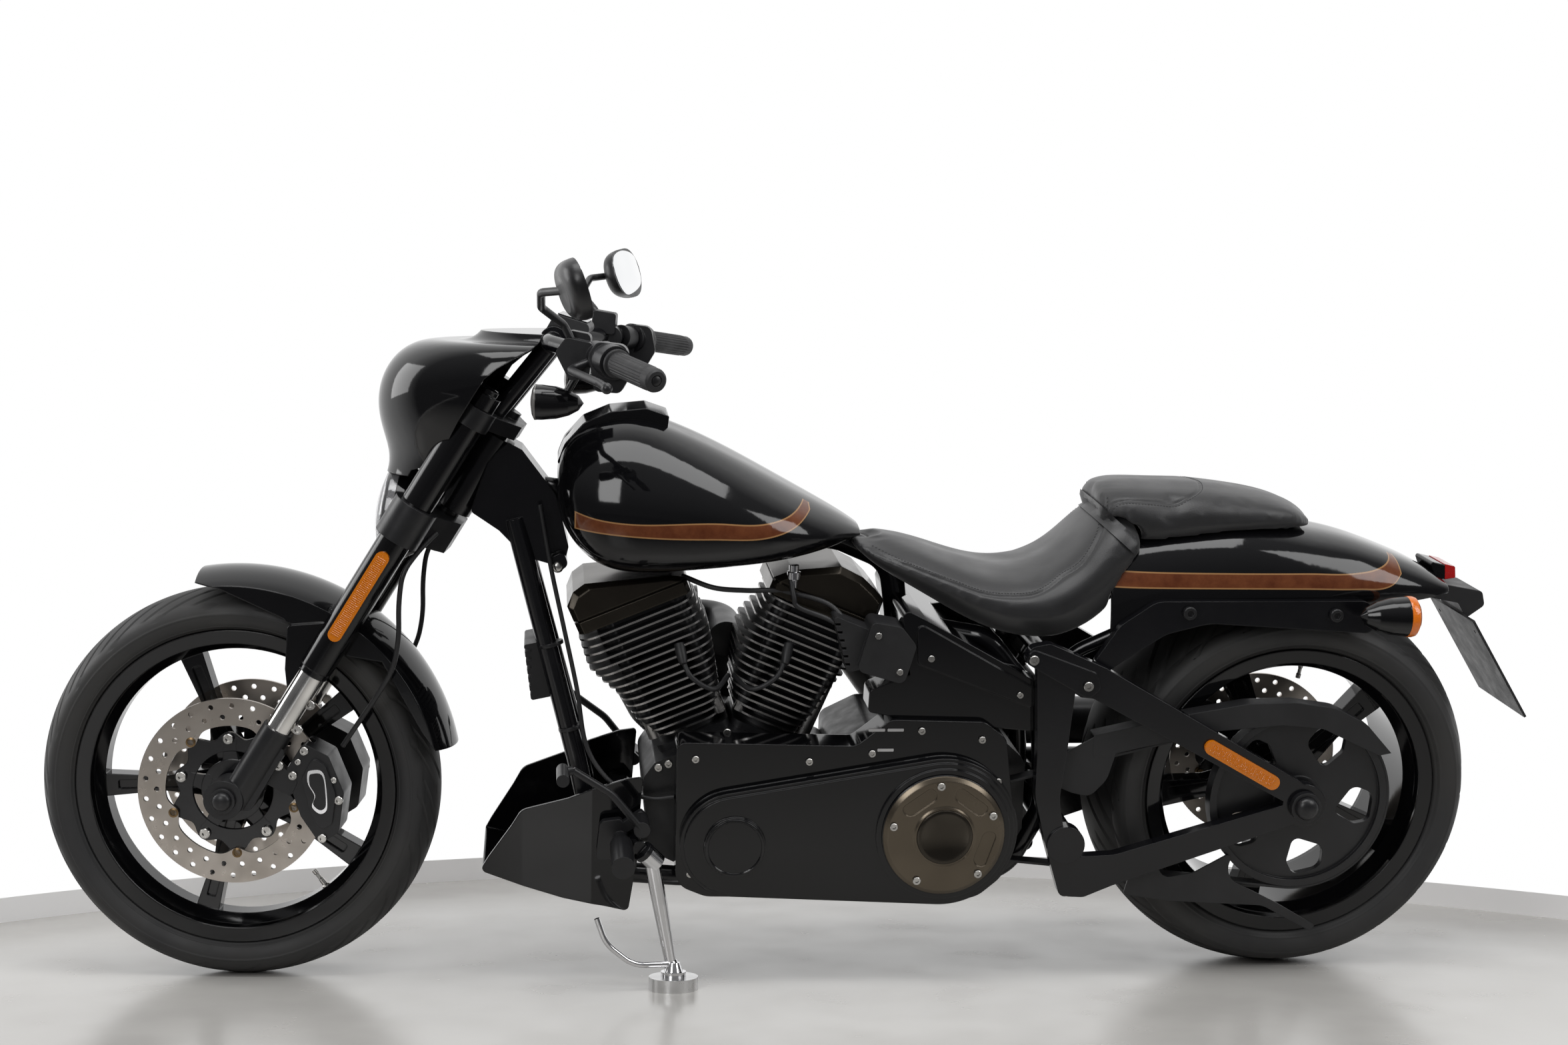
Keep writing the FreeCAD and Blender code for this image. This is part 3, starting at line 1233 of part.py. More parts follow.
def swingarm_reflectors():
    bars = []
    for side in (-1, 1):
        out = side * (ARM_Y + ARM_HALF_T)
        a = V(1548, 0, 425)
        b = V(1652, 0, 366)
        body = fuse([cyl_y(a.x, a.z, 12, out, out + side * 6), cyl_y(b.x, b.z, 12, out, out + side * 6),
                     bar_between(a, b, 12, out, out + side * 6)])
        bars.append(body)
    return Part.makeCompound(bars)


def rear_axle():
    z = REAR_AXLE_Z
    end = ARM_Y + ARM_HALF_T + 12
    parts = [cyl_y(REAR_X, z, REAR_AXLE_R, -end, end)]
    for side in (-1, 1):
        parts.append(cyl_y(REAR_X, z, 25, side * (ARM_Y + ARM_HALF_T), side * end))
        inner = REAR_HUB_HALF if side > 0 else -PULLEY_Y + PULLEY_W / 2 - 4
        parts.append(cyl_y(REAR_X, z, 20, side * (inner + 1), side * (ARM_Y - ARM_HALF_T)))
    return fuse(parts)


def drive_belt():
    """The toothed belt's loop from the gearbox sprocket to the wheel's pulley."""
    x_a = SPROCKET_X
    z_a = CLUTCH_Z
    x_b = REAR_X
    z_b = REAR_AXLE_Z
    r_a = SPROCKET_R + 0.4
    r_b = PULLEY_R + 0.4

    def loop(grow, y0, y1):
        a = r_a + grow
        b = r_b + grow
        dx = math.hypot(x_b - x_a, z_b - z_a)
        slope = math.atan2(z_b - z_a, x_b - x_a)
        tilt = math.asin((b - a) / dx)
        up = slope + math.pi / 2 + tilt
        down = slope - math.pi / 2 - tilt

        def on(x, z, r, ang):
            return V(x + r * math.cos(ang), y0, z + r * math.sin(ang))

        edges = [
            Part.LineSegment(on(x_a, z_a, a, up), on(x_b, z_b, b, up)).toShape(),
            Part.Arc(on(x_b, z_b, b, up), on(x_b, z_b, b, slope), on(x_b, z_b, b, down)).toShape(),
            Part.LineSegment(on(x_b, z_b, b, down), on(x_a, z_a, a, down)).toShape(),
            Part.Arc(on(x_a, z_a, a, down), on(x_a, z_a, a, slope + math.pi), on(x_a, z_a, a, up)).toShape(),
        ]
        return Part.Face(Part.Wire(edges)).extrude(V(0, y1 - y0, 0))

    y0 = PULLEY_Y - PULLEY_W / 2 + 1
    y1 = PULLEY_Y + PULLEY_W / 2 - 1
    return cut(loop(BELT_T, y0, y1), loop(0, y0 - 1, y1 + 1))


def belt_guard(*blockers):
    """The swooping upper guard with its turned-in top, and the lower debris guard."""
    outline = [
        (1360, 400, 6), (1360, 438, 6), (1521, 474, 60), (1612, 490, 80), (1690, 492, 80), (1760, 482, 60),
        (1812, 456, 40), (1858, 406), (1838, 402, 4), (1790, 424, 40), (1740, 448, 40), (1672, 454, 80), (1560, 444, 60),
    ]
    out = ARM_HALF_T - ARM_Y
    near = -REAR_HALF_W - MOVE_GAP
    body = slab(outline, out, near)
    hollow = [
        (1350, 390), (1350, 434), (1521, 470, 60), (1612, 486, 80), (1690, 488, 80), (1758, 478, 60),
        (1808, 453, 40), (1850, 410), (1838, 380), (1700, 380),
    ]
    upper = cut(body, slab(hollow, out + 2.5, near + 1))
    lower = slab([
        (1424, 168, 6), (1436, 216, 8), (1470, 228, 8), (1490, 196, 16), (1540, 204, 20), (1604, 240, 6),
        (1592, 196, 30), (1680, 152, 40), (1752, 110, 3), (1744, 100, 3), (1660, 146, 40), (1500, 156, 20),
    ], out - 2, out + 1.5)
    flap = slab([(1296, 398, 6), (1371, 440, 8), (1403, 427, 8), (1386, 364, 40), (1359, 335, 20), (1329, 342, 14),
                 (1296, 356, 6)], out, out + 4)
    return Part.makeCompound([cut(upper, *blockers), cut(lower, *blockers), cut(flap, upper, *blockers)])


def rear_caliper(*blockers):
    shape = [(1548, 400, 8), (1570, 440, 10), (1620, 430, 10), (1640, 396, 10), (1620, 372, 8), (1572, 376, 8)]
    body = slab(shape, 62, 130)
    slot = disc_slot(REAR_X, REAR_AXLE_Z, REAR_DISC_R, REAR_DISC_Y, 1)
    arm = slab([(1600, 376, 6), (1640, 400, 6), (REAR_X + 10, 350, 10), (REAR_X, 300, 10)], 118, 130)
    eye = cyl_y(REAR_X, REAR_AXLE_Z, 32, 118, 130)
    solid = fuse([cut(body, slot), arm, eye])
    return cut(solid, cyl_y(REAR_X, REAR_AXLE_Z, 20.1, 100, 140), *blockers)


# Stand, drawn on the leaned machine

def stand_parts(pivot, axis, foot):
    """The leg from its pivot eye to the foot, its kick tab, and the round pad it stands on."""
    puck = Part.makeCylinder(PUCK_R, PUCK_T, V(foot.x, foot.y, 0))
    top = V(foot.x, foot.y, PUCK_T)
    ankle = V(foot.x - 4, foot.y + 3, PUCK_T + 18)
    knee = pivot + (ankle - pivot) * 0.42
    eye = Part.makeCylinder(STAND_EYE_R, 2 * STAND_EYE_HALF, pivot - axis * STAND_EYE_HALF, axis)
    blind = pivot - axis * (STAND_EYE_HALF - STAND_CAP_T)
    bore = Part.makeCylinder(STAND_PIN_R + RUN_GAP, 2 * STAND_EYE_HALF, blind, axis)
    upper = Part.makeCylinder(12, (knee - pivot).Length, pivot, knee - pivot)
    lower = Part.makeCone(12, 9, (ankle - knee).Length, knee, ankle - knee)
    sole = Part.makeCylinder(20, 8, top)
    shank = Part.makeCone(15, 10, 14, top + V(0, 0, 8))
    ball = Part.makeSphere(12, ankle)
    kick = tube([
        (ankle.x, ankle.y - 6, ankle.z + 2), (ankle.x - 60, ankle.y - 22, ankle.z + 4),
        (ankle.x - 104, ankle.y - 30, ankle.z + 40), (ankle.x - 118, ankle.y - 32, ankle.z + 80),
    ], (60, 60), 4.5)
    leg = cut(fuse([eye, upper, lower, sole, shank, ball, kick]), bore)
    return leg, puck


def place(shape, steered):
    body = shape.copy()
    if steered:
        body.rotate(V(-TRAIL, 0, 0), V(SIN_R, 0, COS_R), STEER_DEG)
    body.rotate(V(0, 0, 0), V(1, 0, 0), LEAN_DEG)
    return body


def build_nodes():
    upright = {}
    steered = {}

    steered["front_tyre"] = tyre(0, FRONT_AXLE_Z, FRONT_R, FRONT_HALF_W, FRONT_BEAD_R, FRONT_BEAD_HALF)
    steered["front_rim"] = front_rim()
    steered["front_discs"] = front_discs()
    steered["fork_tubes"] = fork_tubes()
    steered["stanchions"] = stanchions()
    steered["fork_lowers"] = fork_lowers()
    steered["front_axle"] = front_axle()
    steered["front_calipers"] = front_calipers(steered["fork_lowers"])
    steered["triple_clamps"] = triple_clamps(steered["fork_tubes"])
    steered["handlebar"] = handlebar(steered["triple_clamps"])
    steered["grips"] = grips(steered["handlebar"])
    steered["bar_controls"] = bar_controls(steered["handlebar"])
    steered["mirrors"] = mirrors(steered["bar_controls"], steered["handlebar"])
    steered["front_signals"] = front_signals(steered["bar_controls"], steered["handlebar"])
    steered["instrument"] = instrument(steered["handlebar"])
    steered["fairing"] = cut(
        fairing(), steered["fork_tubes"], steered["triple_clamps"], steered["handlebar"], steered["instrument"])
    steered["headlamp"] = headlamp(steered["fork_tubes"], steered["triple_clamps"], steered["fairing"])
    steered["front_fender"] = front_fender(steered["fork_lowers"])
    steered["fork_reflectors"] = fork_reflectors()
    steered["brake_hoses"] = brake_hoses(steered["triple_clamps"], steered["front_calipers"])

    upright["rear_tyre"] = tyre(REAR_X, REAR_AXLE_Z, REAR_R, REAR_HALF_W, REAR_BEAD_R, REAR_BEAD_HALF)
    upright["rear_rim"] = rear_rim()
    upright["rear_disc"] = rear_disc()
    upright["rear_pulley"] = rear_pulley()

    upright["engine_cases"] = engine_cases()
    upright["front_cylinder"] = cylinder(-1)
    upright["rear_cylinder"] = cylinder(1)
    upright["rocker_boxes"] = rocker_boxes()
    upright["primary_cover"] = cut(primary_cover(), upright["engine_cases"])
    upright["derby_cover"] = derby_cover()
    engine = [upright[n] for n in ("engine_cases", "front_cylinder", "rear_cylinder", "rocker_boxes")]
    upright["frame"] = cut(frame(), upright["primary_cover"], *engine)
    upright["fuel_tank"] = fuel_tank(upright["frame"], upright["rocker_boxes"])
    upright["tank_console"] = tank_console(upright["fuel_tank"])
    upright["rear_fender"] = rear_fender(upright["frame"])
    upright["oil_tank"] = oil_tank(upright["frame"], upright["engine_cases"], upright["primary_cover"])
    upright["rider_seat"] = rider_seat(
        upright["fuel_tank"], upright["frame"], upright["oil_tank"], upright["rear_fender"], fender_form())
    upright["pillion_seat"] = pillion_seat(fender_form(), upright["rider_seat"])
    upright["fender_struts"] = fender_struts(upright["rear_fender"], upright["frame"], upright["rider_seat"])
    upright["rear_lamps"] = rear_lamps(upright["fender_struts"], upright["rear_fender"])
    upright["plate_bracket"] = plate_bracket(upright["rear_fender"], upright["rear_lamps"])
    upright["coil_box"] = coil_box(upright["oil_tank"], upright["rear_cylinder"])
    upright["foot_controls"] = foot_controls(upright["frame"])
    upright["chin_spoiler"] = chin_spoiler(upright["frame"], upright["foot_controls"])
    upright["regulator"] = regulator(upright["frame"])
    upright["swingarm"] = swingarm(upright["frame"], upright["oil_tank"], upright["rider_seat"], upright["fender_struts"])
    upright["swingarm_reflectors"] = swingarm_reflectors()
    upright["rear_axle"] = rear_axle()
    upright["drive_belt"] = drive_belt()
    upright["belt_guard"] = belt_guard(upright["swingarm"], upright["rear_axle"])
    upright["rear_caliper"] = rear_caliper(upright["rear_axle"])
    upright["air_cleaner"] = air_cleaner(*engine)
    upright["exhaust"] = exhaust(
        upright["engine_cases"], upright["front_cylinder"], upright["rear_cylinder"], upright["frame"],
        upright["foot_controls"])
    return upright, steered


def main():
    os.makedirs("parts", exist_ok=True)
    upright, steered = build_nodes()
    nodes = {}
    for name, shape in upright.items():
        nodes[name] = place(shape, False)
    for name, shape in steered.items():
        nodes[name] = place(shape, True)

    lift_front = -nodes["front_tyre"].optimalBoundingBox().ZMin
    lift_rear = -nodes["rear_tyre"].optimalBoundingBox().ZMin
    pitch = math.degrees(math.atan2(lift_rear - lift_front, WHEELBASE))

    def settle(shape):
        body = shape.copy()
        body.rotate(V(0, 0, 0), V(0, 1, 0), -pitch)
        body.translate(V(0, 0, lift_front))
        return body

    for name in nodes:
        nodes[name] = settle(nodes[name])
    extra = -min(nodes["front_tyre"].optimalBoundingBox().ZMin, nodes["rear_tyre"].optimalBoundingBox().ZMin)
    for name in nodes:
        nodes[name].translate(V(0, 0, extra))

    def to_floor(point, turned=False):
        mark = place(Part.Vertex(point), turned)
        mark = settle(mark)
        mark.translate(V(0, 0, extra))
        return mark.Point

    pivot = to_floor(STAND_PIVOT)
    axis = (to_floor(STAND_PIVOT + STAND_AXIS * 100) - pivot).normalize()
    nodes["stand_leg"], nodes["stand_pad"] = stand_parts(pivot, axis, V(PUCK_X, PUCK_Y, 0))

    boxes = [shape.optimalBoundingBox() for shape in nodes.values()]
    x_mid = (min(b.XMin for b in boxes) + max(b.XMax for b in boxes)) / 2
    y_mid = (min(b.YMin for b in boxes) + max(b.YMax for b in boxes)) / 2
    shift = V(-x_mid, -y_mid, 0)
    print("shift", tuple(shift), "extra", extra, "pitch", pitch, "lift", lift_front, lift_rear)

    def mark(label, point, turned=False):
        p = to_floor(point, turned) + shift
        print("mark", label, round(p.x, 4), round(p.y, 4), round(p.z, 4))

    def way(label, point, direction, turned=False):
        d = (to_floor(point + direction * 1000, turned) - to_floor(point, turned)).normalize()
        mark(label, point, turned)
        print("way", label, round(d.x, 7), round(d.y, 7), round(d.z, 7))

    across = V(0, 1, 0)
    way("steering", fork_point(LOWER_CLAMP[1], AXIS_SET), V(SIN_R, 0, COS_R))
    way("front_axle", V(0, 0, FRONT_AXLE_Z), across, True)
    way("rear_axle", V(REAR_X, 0, REAR_AXLE_Z), across)
    way("stand", STAND_PIVOT, STAND_AXIS)
    way("stem_socket", fork_point(LOWER_CLAMP[0] - 6, AXIS_SET), V(-SIN_R, 0, -COS_R), True)
    mouth, out = board_frame()
    way("plate_left", mouth + V(0, -BOARD_BORE_Y, 0), out)
    way("plate_right", mouth + V(0, BOARD_BORE_Y, 0), out)
    way("bar_middle", V(BAR_X, 0, BAR_Z), V(0, 0, 1), True)

    for name, shape in nodes.items():
        shape.translate(shift)
        solids = shape.Solids
        bad = "" if shape.isValid() else " INVALID"
        print(name, len(solids), round(shape.Volume / 1000.0, 1), bad)
        shape.exportStep("parts/" + name + ".step")


main()
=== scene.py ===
# %% [markdown]
# # A black cruiser, dressed over its measured frame
# The frame is the finished set of solids: every tube, wheel and cover already sits where it belongs.
# What is missing is how the machine looks: paint, rubber, stitching, drilled discs, cables, screws.
# Pieces could be modelled in place by eye, but the frame gives their true places, so each one here
# is built in the machine's own upright millimetres and then laid over onto its side stand.
# %% Load the frame
import math
import bmesh
import bpy
from mathutils import Matrix, Vector


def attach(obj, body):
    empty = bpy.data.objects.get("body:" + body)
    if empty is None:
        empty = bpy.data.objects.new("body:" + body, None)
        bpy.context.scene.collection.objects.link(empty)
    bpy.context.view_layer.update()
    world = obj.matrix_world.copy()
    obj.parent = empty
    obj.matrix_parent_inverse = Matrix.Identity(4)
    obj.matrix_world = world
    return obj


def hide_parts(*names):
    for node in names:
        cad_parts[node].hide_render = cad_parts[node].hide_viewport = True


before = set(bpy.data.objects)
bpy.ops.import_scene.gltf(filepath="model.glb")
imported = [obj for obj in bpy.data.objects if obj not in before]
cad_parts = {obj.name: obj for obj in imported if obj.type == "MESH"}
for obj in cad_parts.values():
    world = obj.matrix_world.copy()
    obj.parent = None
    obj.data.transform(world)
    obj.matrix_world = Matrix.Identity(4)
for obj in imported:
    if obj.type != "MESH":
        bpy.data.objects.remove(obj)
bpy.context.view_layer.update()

# %% [markdown]
# ## From the upright machine to the leaning one
# A motorcycle on its stand leans, and its fork is turned a little. Measuring in that tilted pose is
# awkward, so two matrices do the work once: one for what is fixed to the frame, one for what turns
# with the fork. A third builds a frame round any axis, such as a wheel's, so that round things can be
# drawn flat and then set in place.
# %% Placing matrices
LEAN = math.radians(11.87)
PITCH = math.radians(-0.012728)
STEER = math.radians(-7.49)
RAKE = math.radians(31)
MM = Matrix.Scale(0.001, 4)
STEER_FOOT = Vector((-130, 0, 0))
STEER_WAY = Vector((math.sin(RAKE), 0, math.cos(RAKE)))
LAID = (Matrix.Translation((-0.89803136, 0.23889969, 0.00340977)) @ Matrix.Rotation(PITCH, 4, "Y")
        @ Matrix.Rotation(LEAN, 4, "X"))
ON_BIKE = LAID @ MM
TURNED = (Matrix.Translation(STEER_FOOT) @ Matrix.Rotation(STEER, 4, STEER_WAY)
          @ Matrix.Translation(-STEER_FOOT))
ON_FORK = ON_BIKE @ TURNED
FRONT_R, REAR_R, WHEELBASE = 319.3, 324.6, 1710
FRONT_AXLE, REAR_AXLE = Vector((0, 0, FRONT_R)), Vector((WHEELBASE, 0, REAR_R))


def fork_point(s, q, y=0.0):
    """A point by distance up the fork from the axle, and square behind it, in millimetres."""
    return Vector((q * math.cos(RAKE) + s * math.sin(RAKE), y,
                   FRONT_R + s * math.cos(RAKE) - q * math.sin(RAKE)))


def axis_frame(centre, way, up=(0, 0, 1)):
    """A frame at centre whose Z runs along way."""
    z = Vector(way).normalized()
    x = Vector(up).cross(z)
    if x.length < 1e-4:
        x = Vector((1, 0, 0)).cross(z)
    x.normalize()
    y = z.cross(x)
    m = Matrix((x, y, z)).transposed().to_4x4()
    m.translation = Vector(centre)
    return m


hub = ON_FORK @ FRONT_AXLE
print("front axle lands at", [round(v * 1000, 2) for v in hub])

# %% [markdown]
# ## The camera
# The photograph was taken from the left, a little ahead of the middle, with the lens near the height
# of the cylinders. A camera could be nudged until it looks right; here it comes from solving the
# picture's own proportions, such as both wheels' circles, so it needs no shift and no nudging.
# %% Camera
def linked(name, data):
    """A new object in the scene."""
    obj = bpy.data.objects.new(name, data)
    bpy.context.scene.collection.objects.link(obj)
    return obj


cam_data = bpy.data.cameras.new("photo_camera")
cam_data.lens = 50.29
cam_data.sensor_width = 36
cam_data.clip_start = 0.05
camera = linked("photo_camera", cam_data)
camera.matrix_world = (Matrix.Translation((-0.41844, -3.44351, 0.73627))
                       @ Matrix.Rotation(math.radians(-6.27), 4, "Z")
                       @ Matrix.Rotation(math.radians(90.04), 4, "X")
                       @ Matrix.Rotation(math.radians(0.39), 4, "Z"))
bpy.context.scene.camera = camera
print("camera lens:", cam_data.lens)

# %% [markdown]
# ## Finishes
# Almost everything here is black, so the finishes differ in how they take light and not in colour.
# One image texture per part would be the usual way. Procedural nodes are used instead: they read the
# object's own coordinates, so they need no unwrapping and stay sharp at any distance. Each finish is a
# base shader plus a fine noise that varies its roughness and its surface, because no real surface is
# perfectly even.
# %% Finish builder
def sock(node, name, value):
    node.inputs[name].default_value = value


def feed(tree, socket, value):
    """Links a socket to another one, or sets it to a value."""
    if isinstance(value, bpy.types.NodeSocket):
        tree.links.new(value, socket)
    else:
        socket.default_value = value


def new_material(name):
    """A material, its tree, its shader and its coordinates."""
    mat = bpy.data.materials.new(name)
    mat.use_nodes = True
    tree = mat.node_tree
    return mat, tree, tree.nodes["Principled BSDF"], tree.nodes.new("ShaderNodeTexCoord")


def noise_node(tree, vector, scale, detail, rough=0.5):
    tex = tree.nodes.new("ShaderNodeTexNoise")
    feed(tree, tex.inputs["Vector"], vector)
    sock(tex, "Scale", scale)
    sock(tex, "Detail", detail)
    sock(tex, "Roughness", rough)
    return tex.outputs["Fac"]


def remap(tree, value, low, high, out_low=0.0, out_high=1.0):
    node = tree.nodes.new("ShaderNodeMapRange")
    feed(tree, node.inputs["Value"], value)
    sock(node, "From Min", low)
    sock(node, "From Max", high)
    sock(node, "To Min", out_low)
    sock(node, "To Max", out_high)
    return node.outputs["Result"]


def colour_mix(tree, factor, a, b):
    node = tree.nodes.new("ShaderNodeMix")
    node.data_type = "RGBA"
    feed(tree, node.inputs[0], factor)
    for index, value in ((6, a), (7, b)):
        feed(tree, node.inputs[index], (*value, 1) if isinstance(value, tuple) else value)
    return node.outputs[2]


def bumped(tree, height, distance, strength, normal=None):
    """The normals that a height gives, on top of another bump where there is one."""
    lift = tree.nodes.new("ShaderNodeBump")
    sock(lift, "Strength", strength)
    sock(lift, "Distance", distance)
    feed(tree, lift.inputs["Height"], height)
    if normal is not None:
        feed(tree, lift.inputs["Normal"], normal)
    return lift.outputs["Normal"]


def finish(name, colour, rough, metal=0.0, vary=0.05, grain=200.0, bump=0.0, bump_scale=None,
           spots=None, sheen=0.0, edge=0.0):
    """A finish: colour, roughness that wanders by vary, a fine bump and softened edges, both in metres."""
    mat, tree, shader, coords = new_material(name)
    place = coords.outputs["Object"]
    sock(shader, "Base Color", (*colour, 1))
    sock(shader, "Metallic", metal)
    sock(shader, "Sheen Weight", sheen)
    wander = noise_node(tree, place, grain * 0.15, 4)
    feed(tree, shader.inputs["Roughness"],
         remap(tree, wander, 0.3, 0.7, max(rough - vary, 0.02), rough + vary))
    tone = remap(tree, noise_node(tree, place, grain * 0.06, 3), 0.35, 0.75)
    lighter = spots or tuple(min(c * 1.35 + 0.001, 1) for c in colour)
    feed(tree, shader.inputs["Base Color"], colour_mix(tree, tone, colour, lighter))
    normal = None
    if edge > 0:
        round_edge = tree.nodes.new("ShaderNodeBevel")
        round_edge.samples = 4
        sock(round_edge, "Radius", edge)
        normal = round_edge.outputs["Normal"]
    if bump > 0:
        normal = bumped(tree, noise_node(tree, place, bump_scale, 2), bump, 1.0, normal)
    if normal is not None:
        feed(tree, shader.inputs["Normal"], normal)
    return mat


# %% [markdown]
# ## The plain finishes
# Deep lacquer, sprayed enamel, crinkle paint on the castings, satin covers and bare plastic are all one
# call of the builder above. A colour picked for each from a chart would make them all alike, because
# they are near black; what tells them apart is the roughness and how fine the grain is. Bare metals
# are the same call, with the share of metal at 1.
# %% The plain finishes
lacquer = finish("black_lacquer", (0.0025, 0.0025, 0.003), 0.07, vary=0.02, grain=60,
                 bump=0.00003, bump_scale=70, edge=0.003)
frame_paint = finish("frame_enamel", (0.004, 0.004, 0.005), 0.16, vary=0.05, grain=120,
                     bump=0.00005, bump_scale=160, edge=0.002)
cast_black = finish("crinkle_black", (0.007, 0.007, 0.008), 0.4, vary=0.08, grain=300,
                    bump=0.00015, bump_scale=900)
satin_black = finish("satin_black", (0.009, 0.009, 0.01), 0.35, vary=0.06, grain=220,
                     bump=0.00005, bump_scale=500, edge=0.002)
moulded = finish("moulded_black", (0.012, 0.012, 0.013), 0.46, vary=0.07, grain=260,
                 bump=0.00012, bump_scale=1400, edge=0.002)
grip_rubber = finish("grip_rubber", (0.014, 0.014, 0.015), 0.55, vary=0.08, grain=260,
                     bump=0.0001, bump_scale=1600)
tyre_rubber = finish("tyre_rubber", (0.02, 0.02, 0.021), 0.6, vary=0.1, grain=90,
                     bump=0.00015, bump_scale=1100, spots=(0.034, 0.033, 0.031))
derby_bronze = finish("derby_bronze", (0.12, 0.1, 0.075), 0.24, metal=0.9, vary=0.04, grain=120, edge=0.003)
smoked = finish("smoked_chrome", (0.045, 0.039, 0.031), 0.2, metal=0.85, vary=0.04, grain=120, edge=0.003)
chrome = finish("chrome", (0.62, 0.62, 0.63), 0.07, metal=1.0, vary=0.03, grain=160)
bolt_steel = finish("bolt_steel", (0.5, 0.49, 0.47), 0.25, metal=1.0, vary=0.08, grain=400)
tube_steel = finish("ground_steel", (0.72, 0.71, 0.69), 0.14, metal=1.0, vary=0.05, grain=200)
disc_steel = finish("disc_steel", (0.42, 0.38, 0.34), 0.32, metal=1.0, vary=0.07, grain=240,
                    spots=(0.5, 0.46, 0.42))
bronze = finish("bronze_bobbin", (0.2, 0.135, 0.07), 0.35, metal=1.0, vary=0.06, grain=300)
machined = finish("turned_aluminium", (0.66, 0.66, 0.66), 0.3, metal=1.0, vary=0.06, grain=300)
print("finishes:", len(bpy.data.materials))

# %% [markdown]
# ## Clear and coloured plastics
# A lens shows its colour only where light gets into it. A fully transparent lens needs a lit bulb and
# reflector behind it to look right, so the amber and red ones are given a deep colour, some
# transmission, fine ribs and a faint painted glow: emission that stands for light caught inside, though no
# bulb is lit and the reflectors have none. The mirror's glass is a polished metal, as a real mirror is.
# %% Lens finishes
def lens_finish(name, colour, transmission, rough=0.08, ribs=0.0, painted_glow=0.0):
    """A plastic that lets some light in, with small prisms under its face and a faint painted glow of its own
    colour, though no lamp lights it.
    """
    mat, tree, shader, coords = new_material(name)
    for socket, value in (("Base Color", (*colour, 1)), ("Roughness", rough), ("IOR", 1.49),
                          ("Transmission Weight", transmission), ("Coat Weight", 0.5),
                          ("Emission Color", (*colour, 1)), ("Emission Strength", painted_glow)):
        sock(shader, socket, value)
    cells = tree.nodes.new("ShaderNodeTexVoronoi")
    feed(tree, cells.inputs["Vector"], coords.outputs["Object"])
    sock(cells, "Scale", 330.0)
    feed(tree, shader.inputs["Normal"], bumped(tree, cells.outputs["Distance"], 0.0006, ribs))
    return mat


# The amber, reflector and red lenses get a faint painted glow: emission, though no lamp is lit.
amber = lens_finish("amber_lens", (0.86, 0.2, 0.01), 0.25, ribs=0.6, painted_glow=0.05)
amber_reflex = lens_finish("amber_reflex", (0.62, 0.17, 0.001), 0.1, 0.12, ribs=1.0, painted_glow=0.05)
red_lens = lens_finish("red_lens", (0.5, 0.008, 0.008), 0.2, ribs=0.5, painted_glow=0.02)
smoke_lens = lens_finish("smoke_lens", (0.3, 0.29, 0.28), 0.5, ribs=0.4)
clear_lens = lens_finish("clear_lens", (0.9, 0.9, 0.92), 0.92, 0.03, ribs=0.15)
mirror_glass = finish("mirror_glass", (0.82, 0.84, 0.86), 0.03, metal=1.0, vary=0.01, grain=60)
print("finishes and lenses:", len(bpy.data.materials))

# %% [markdown]
# ## The studio
# The bike stands in a pale round room: a grey, slightly polished floor that ends at a low skirting,
# and a white wall. A modelled wall would hide the bike from behind, so the white comes from the world,
# seen by camera, glossy and see-through rays, while the light that falls on the bike stays soft:
# brighter from above and from behind, dimmer from the camera's side, as in the picture.
# %% World
def calc(tree, kind, *values):
    """A Math node on sockets or numbers."""
    node = tree.nodes.new("ShaderNodeMath")
    node.operation = kind
    for socket, value in zip(node.inputs, values):
        feed(tree, socket, value)
    return node.outputs[0]


def split_xyz(tree, vector):
    split = tree.nodes.new("ShaderNodeSeparateXYZ")
    feed(tree, split.inputs[0], vector)
    return split.outputs


world = bpy.data.worlds.new("studio")
bpy.context.scene.world = world
world.use_nodes = True
sky = world.node_tree
sky.nodes.clear()
way_in = split_xyz(sky, sky.nodes.new("ShaderNodeTexCoord").outputs["Generated"])
behind = remap(sky, way_in["Y"], -0.15, 0.35)
above = remap(sky, way_in["Z"], 0.0, 0.9)
room = colour_mix(sky, behind, (0.09, 0.09, 0.092), (0.62, 0.62, 0.63))
room = colour_mix(sky, above, room, (0.3, 0.3, 0.305))
seen = sky.nodes.new("ShaderNodeLightPath").outputs
through = calc(sky, "MAXIMUM", seen["Is Camera Ray"], seen["Is Transmission Ray"])
shine = calc(sky, "MULTIPLY_ADD", seen["Is Glossy Ray"], behind, through)
shine.node.use_clamp = True
backdrop = sky.nodes.new("ShaderNodeBackground")
feed(sky, backdrop.inputs["Color"], colour_mix(sky, shine, room, (1, 1, 1)))
feed(sky, sky.nodes.new("ShaderNodeOutputWorld").inputs["Surface"], backdrop.outputs[0])
bpy.context.scene.view_settings.view_transform = "Standard"
print("world nodes:", len(sky.nodes))

# %% [markdown]
# ## The floor and its skirting
# The machine stands on a round floor that ends at a low pale skirting. A very large plane would be less
# work, but its far edge would be a straight horizon, and the photograph shows a curve. So the floor is a
# disc, and the skirting a strip on its far edge. The bike mirrors the floor, whose near side is painted
# dark for glossy rays only: a painted shade in its colour that stands for the unlit room on the camera's side.
# %% Floor and skirting
ROOM = Vector((-0.18, -1.265, 0))
ROOM_R = 2.44
SKIRT_TOP = Vector((0, 0, 0.045))


def raw_mesh(name, verts, faces):
    mesh = bpy.data.meshes.new(name)
    mesh.from_pydata([tuple(v) for v in verts], [], faces)
    mesh.validate()
    return mesh


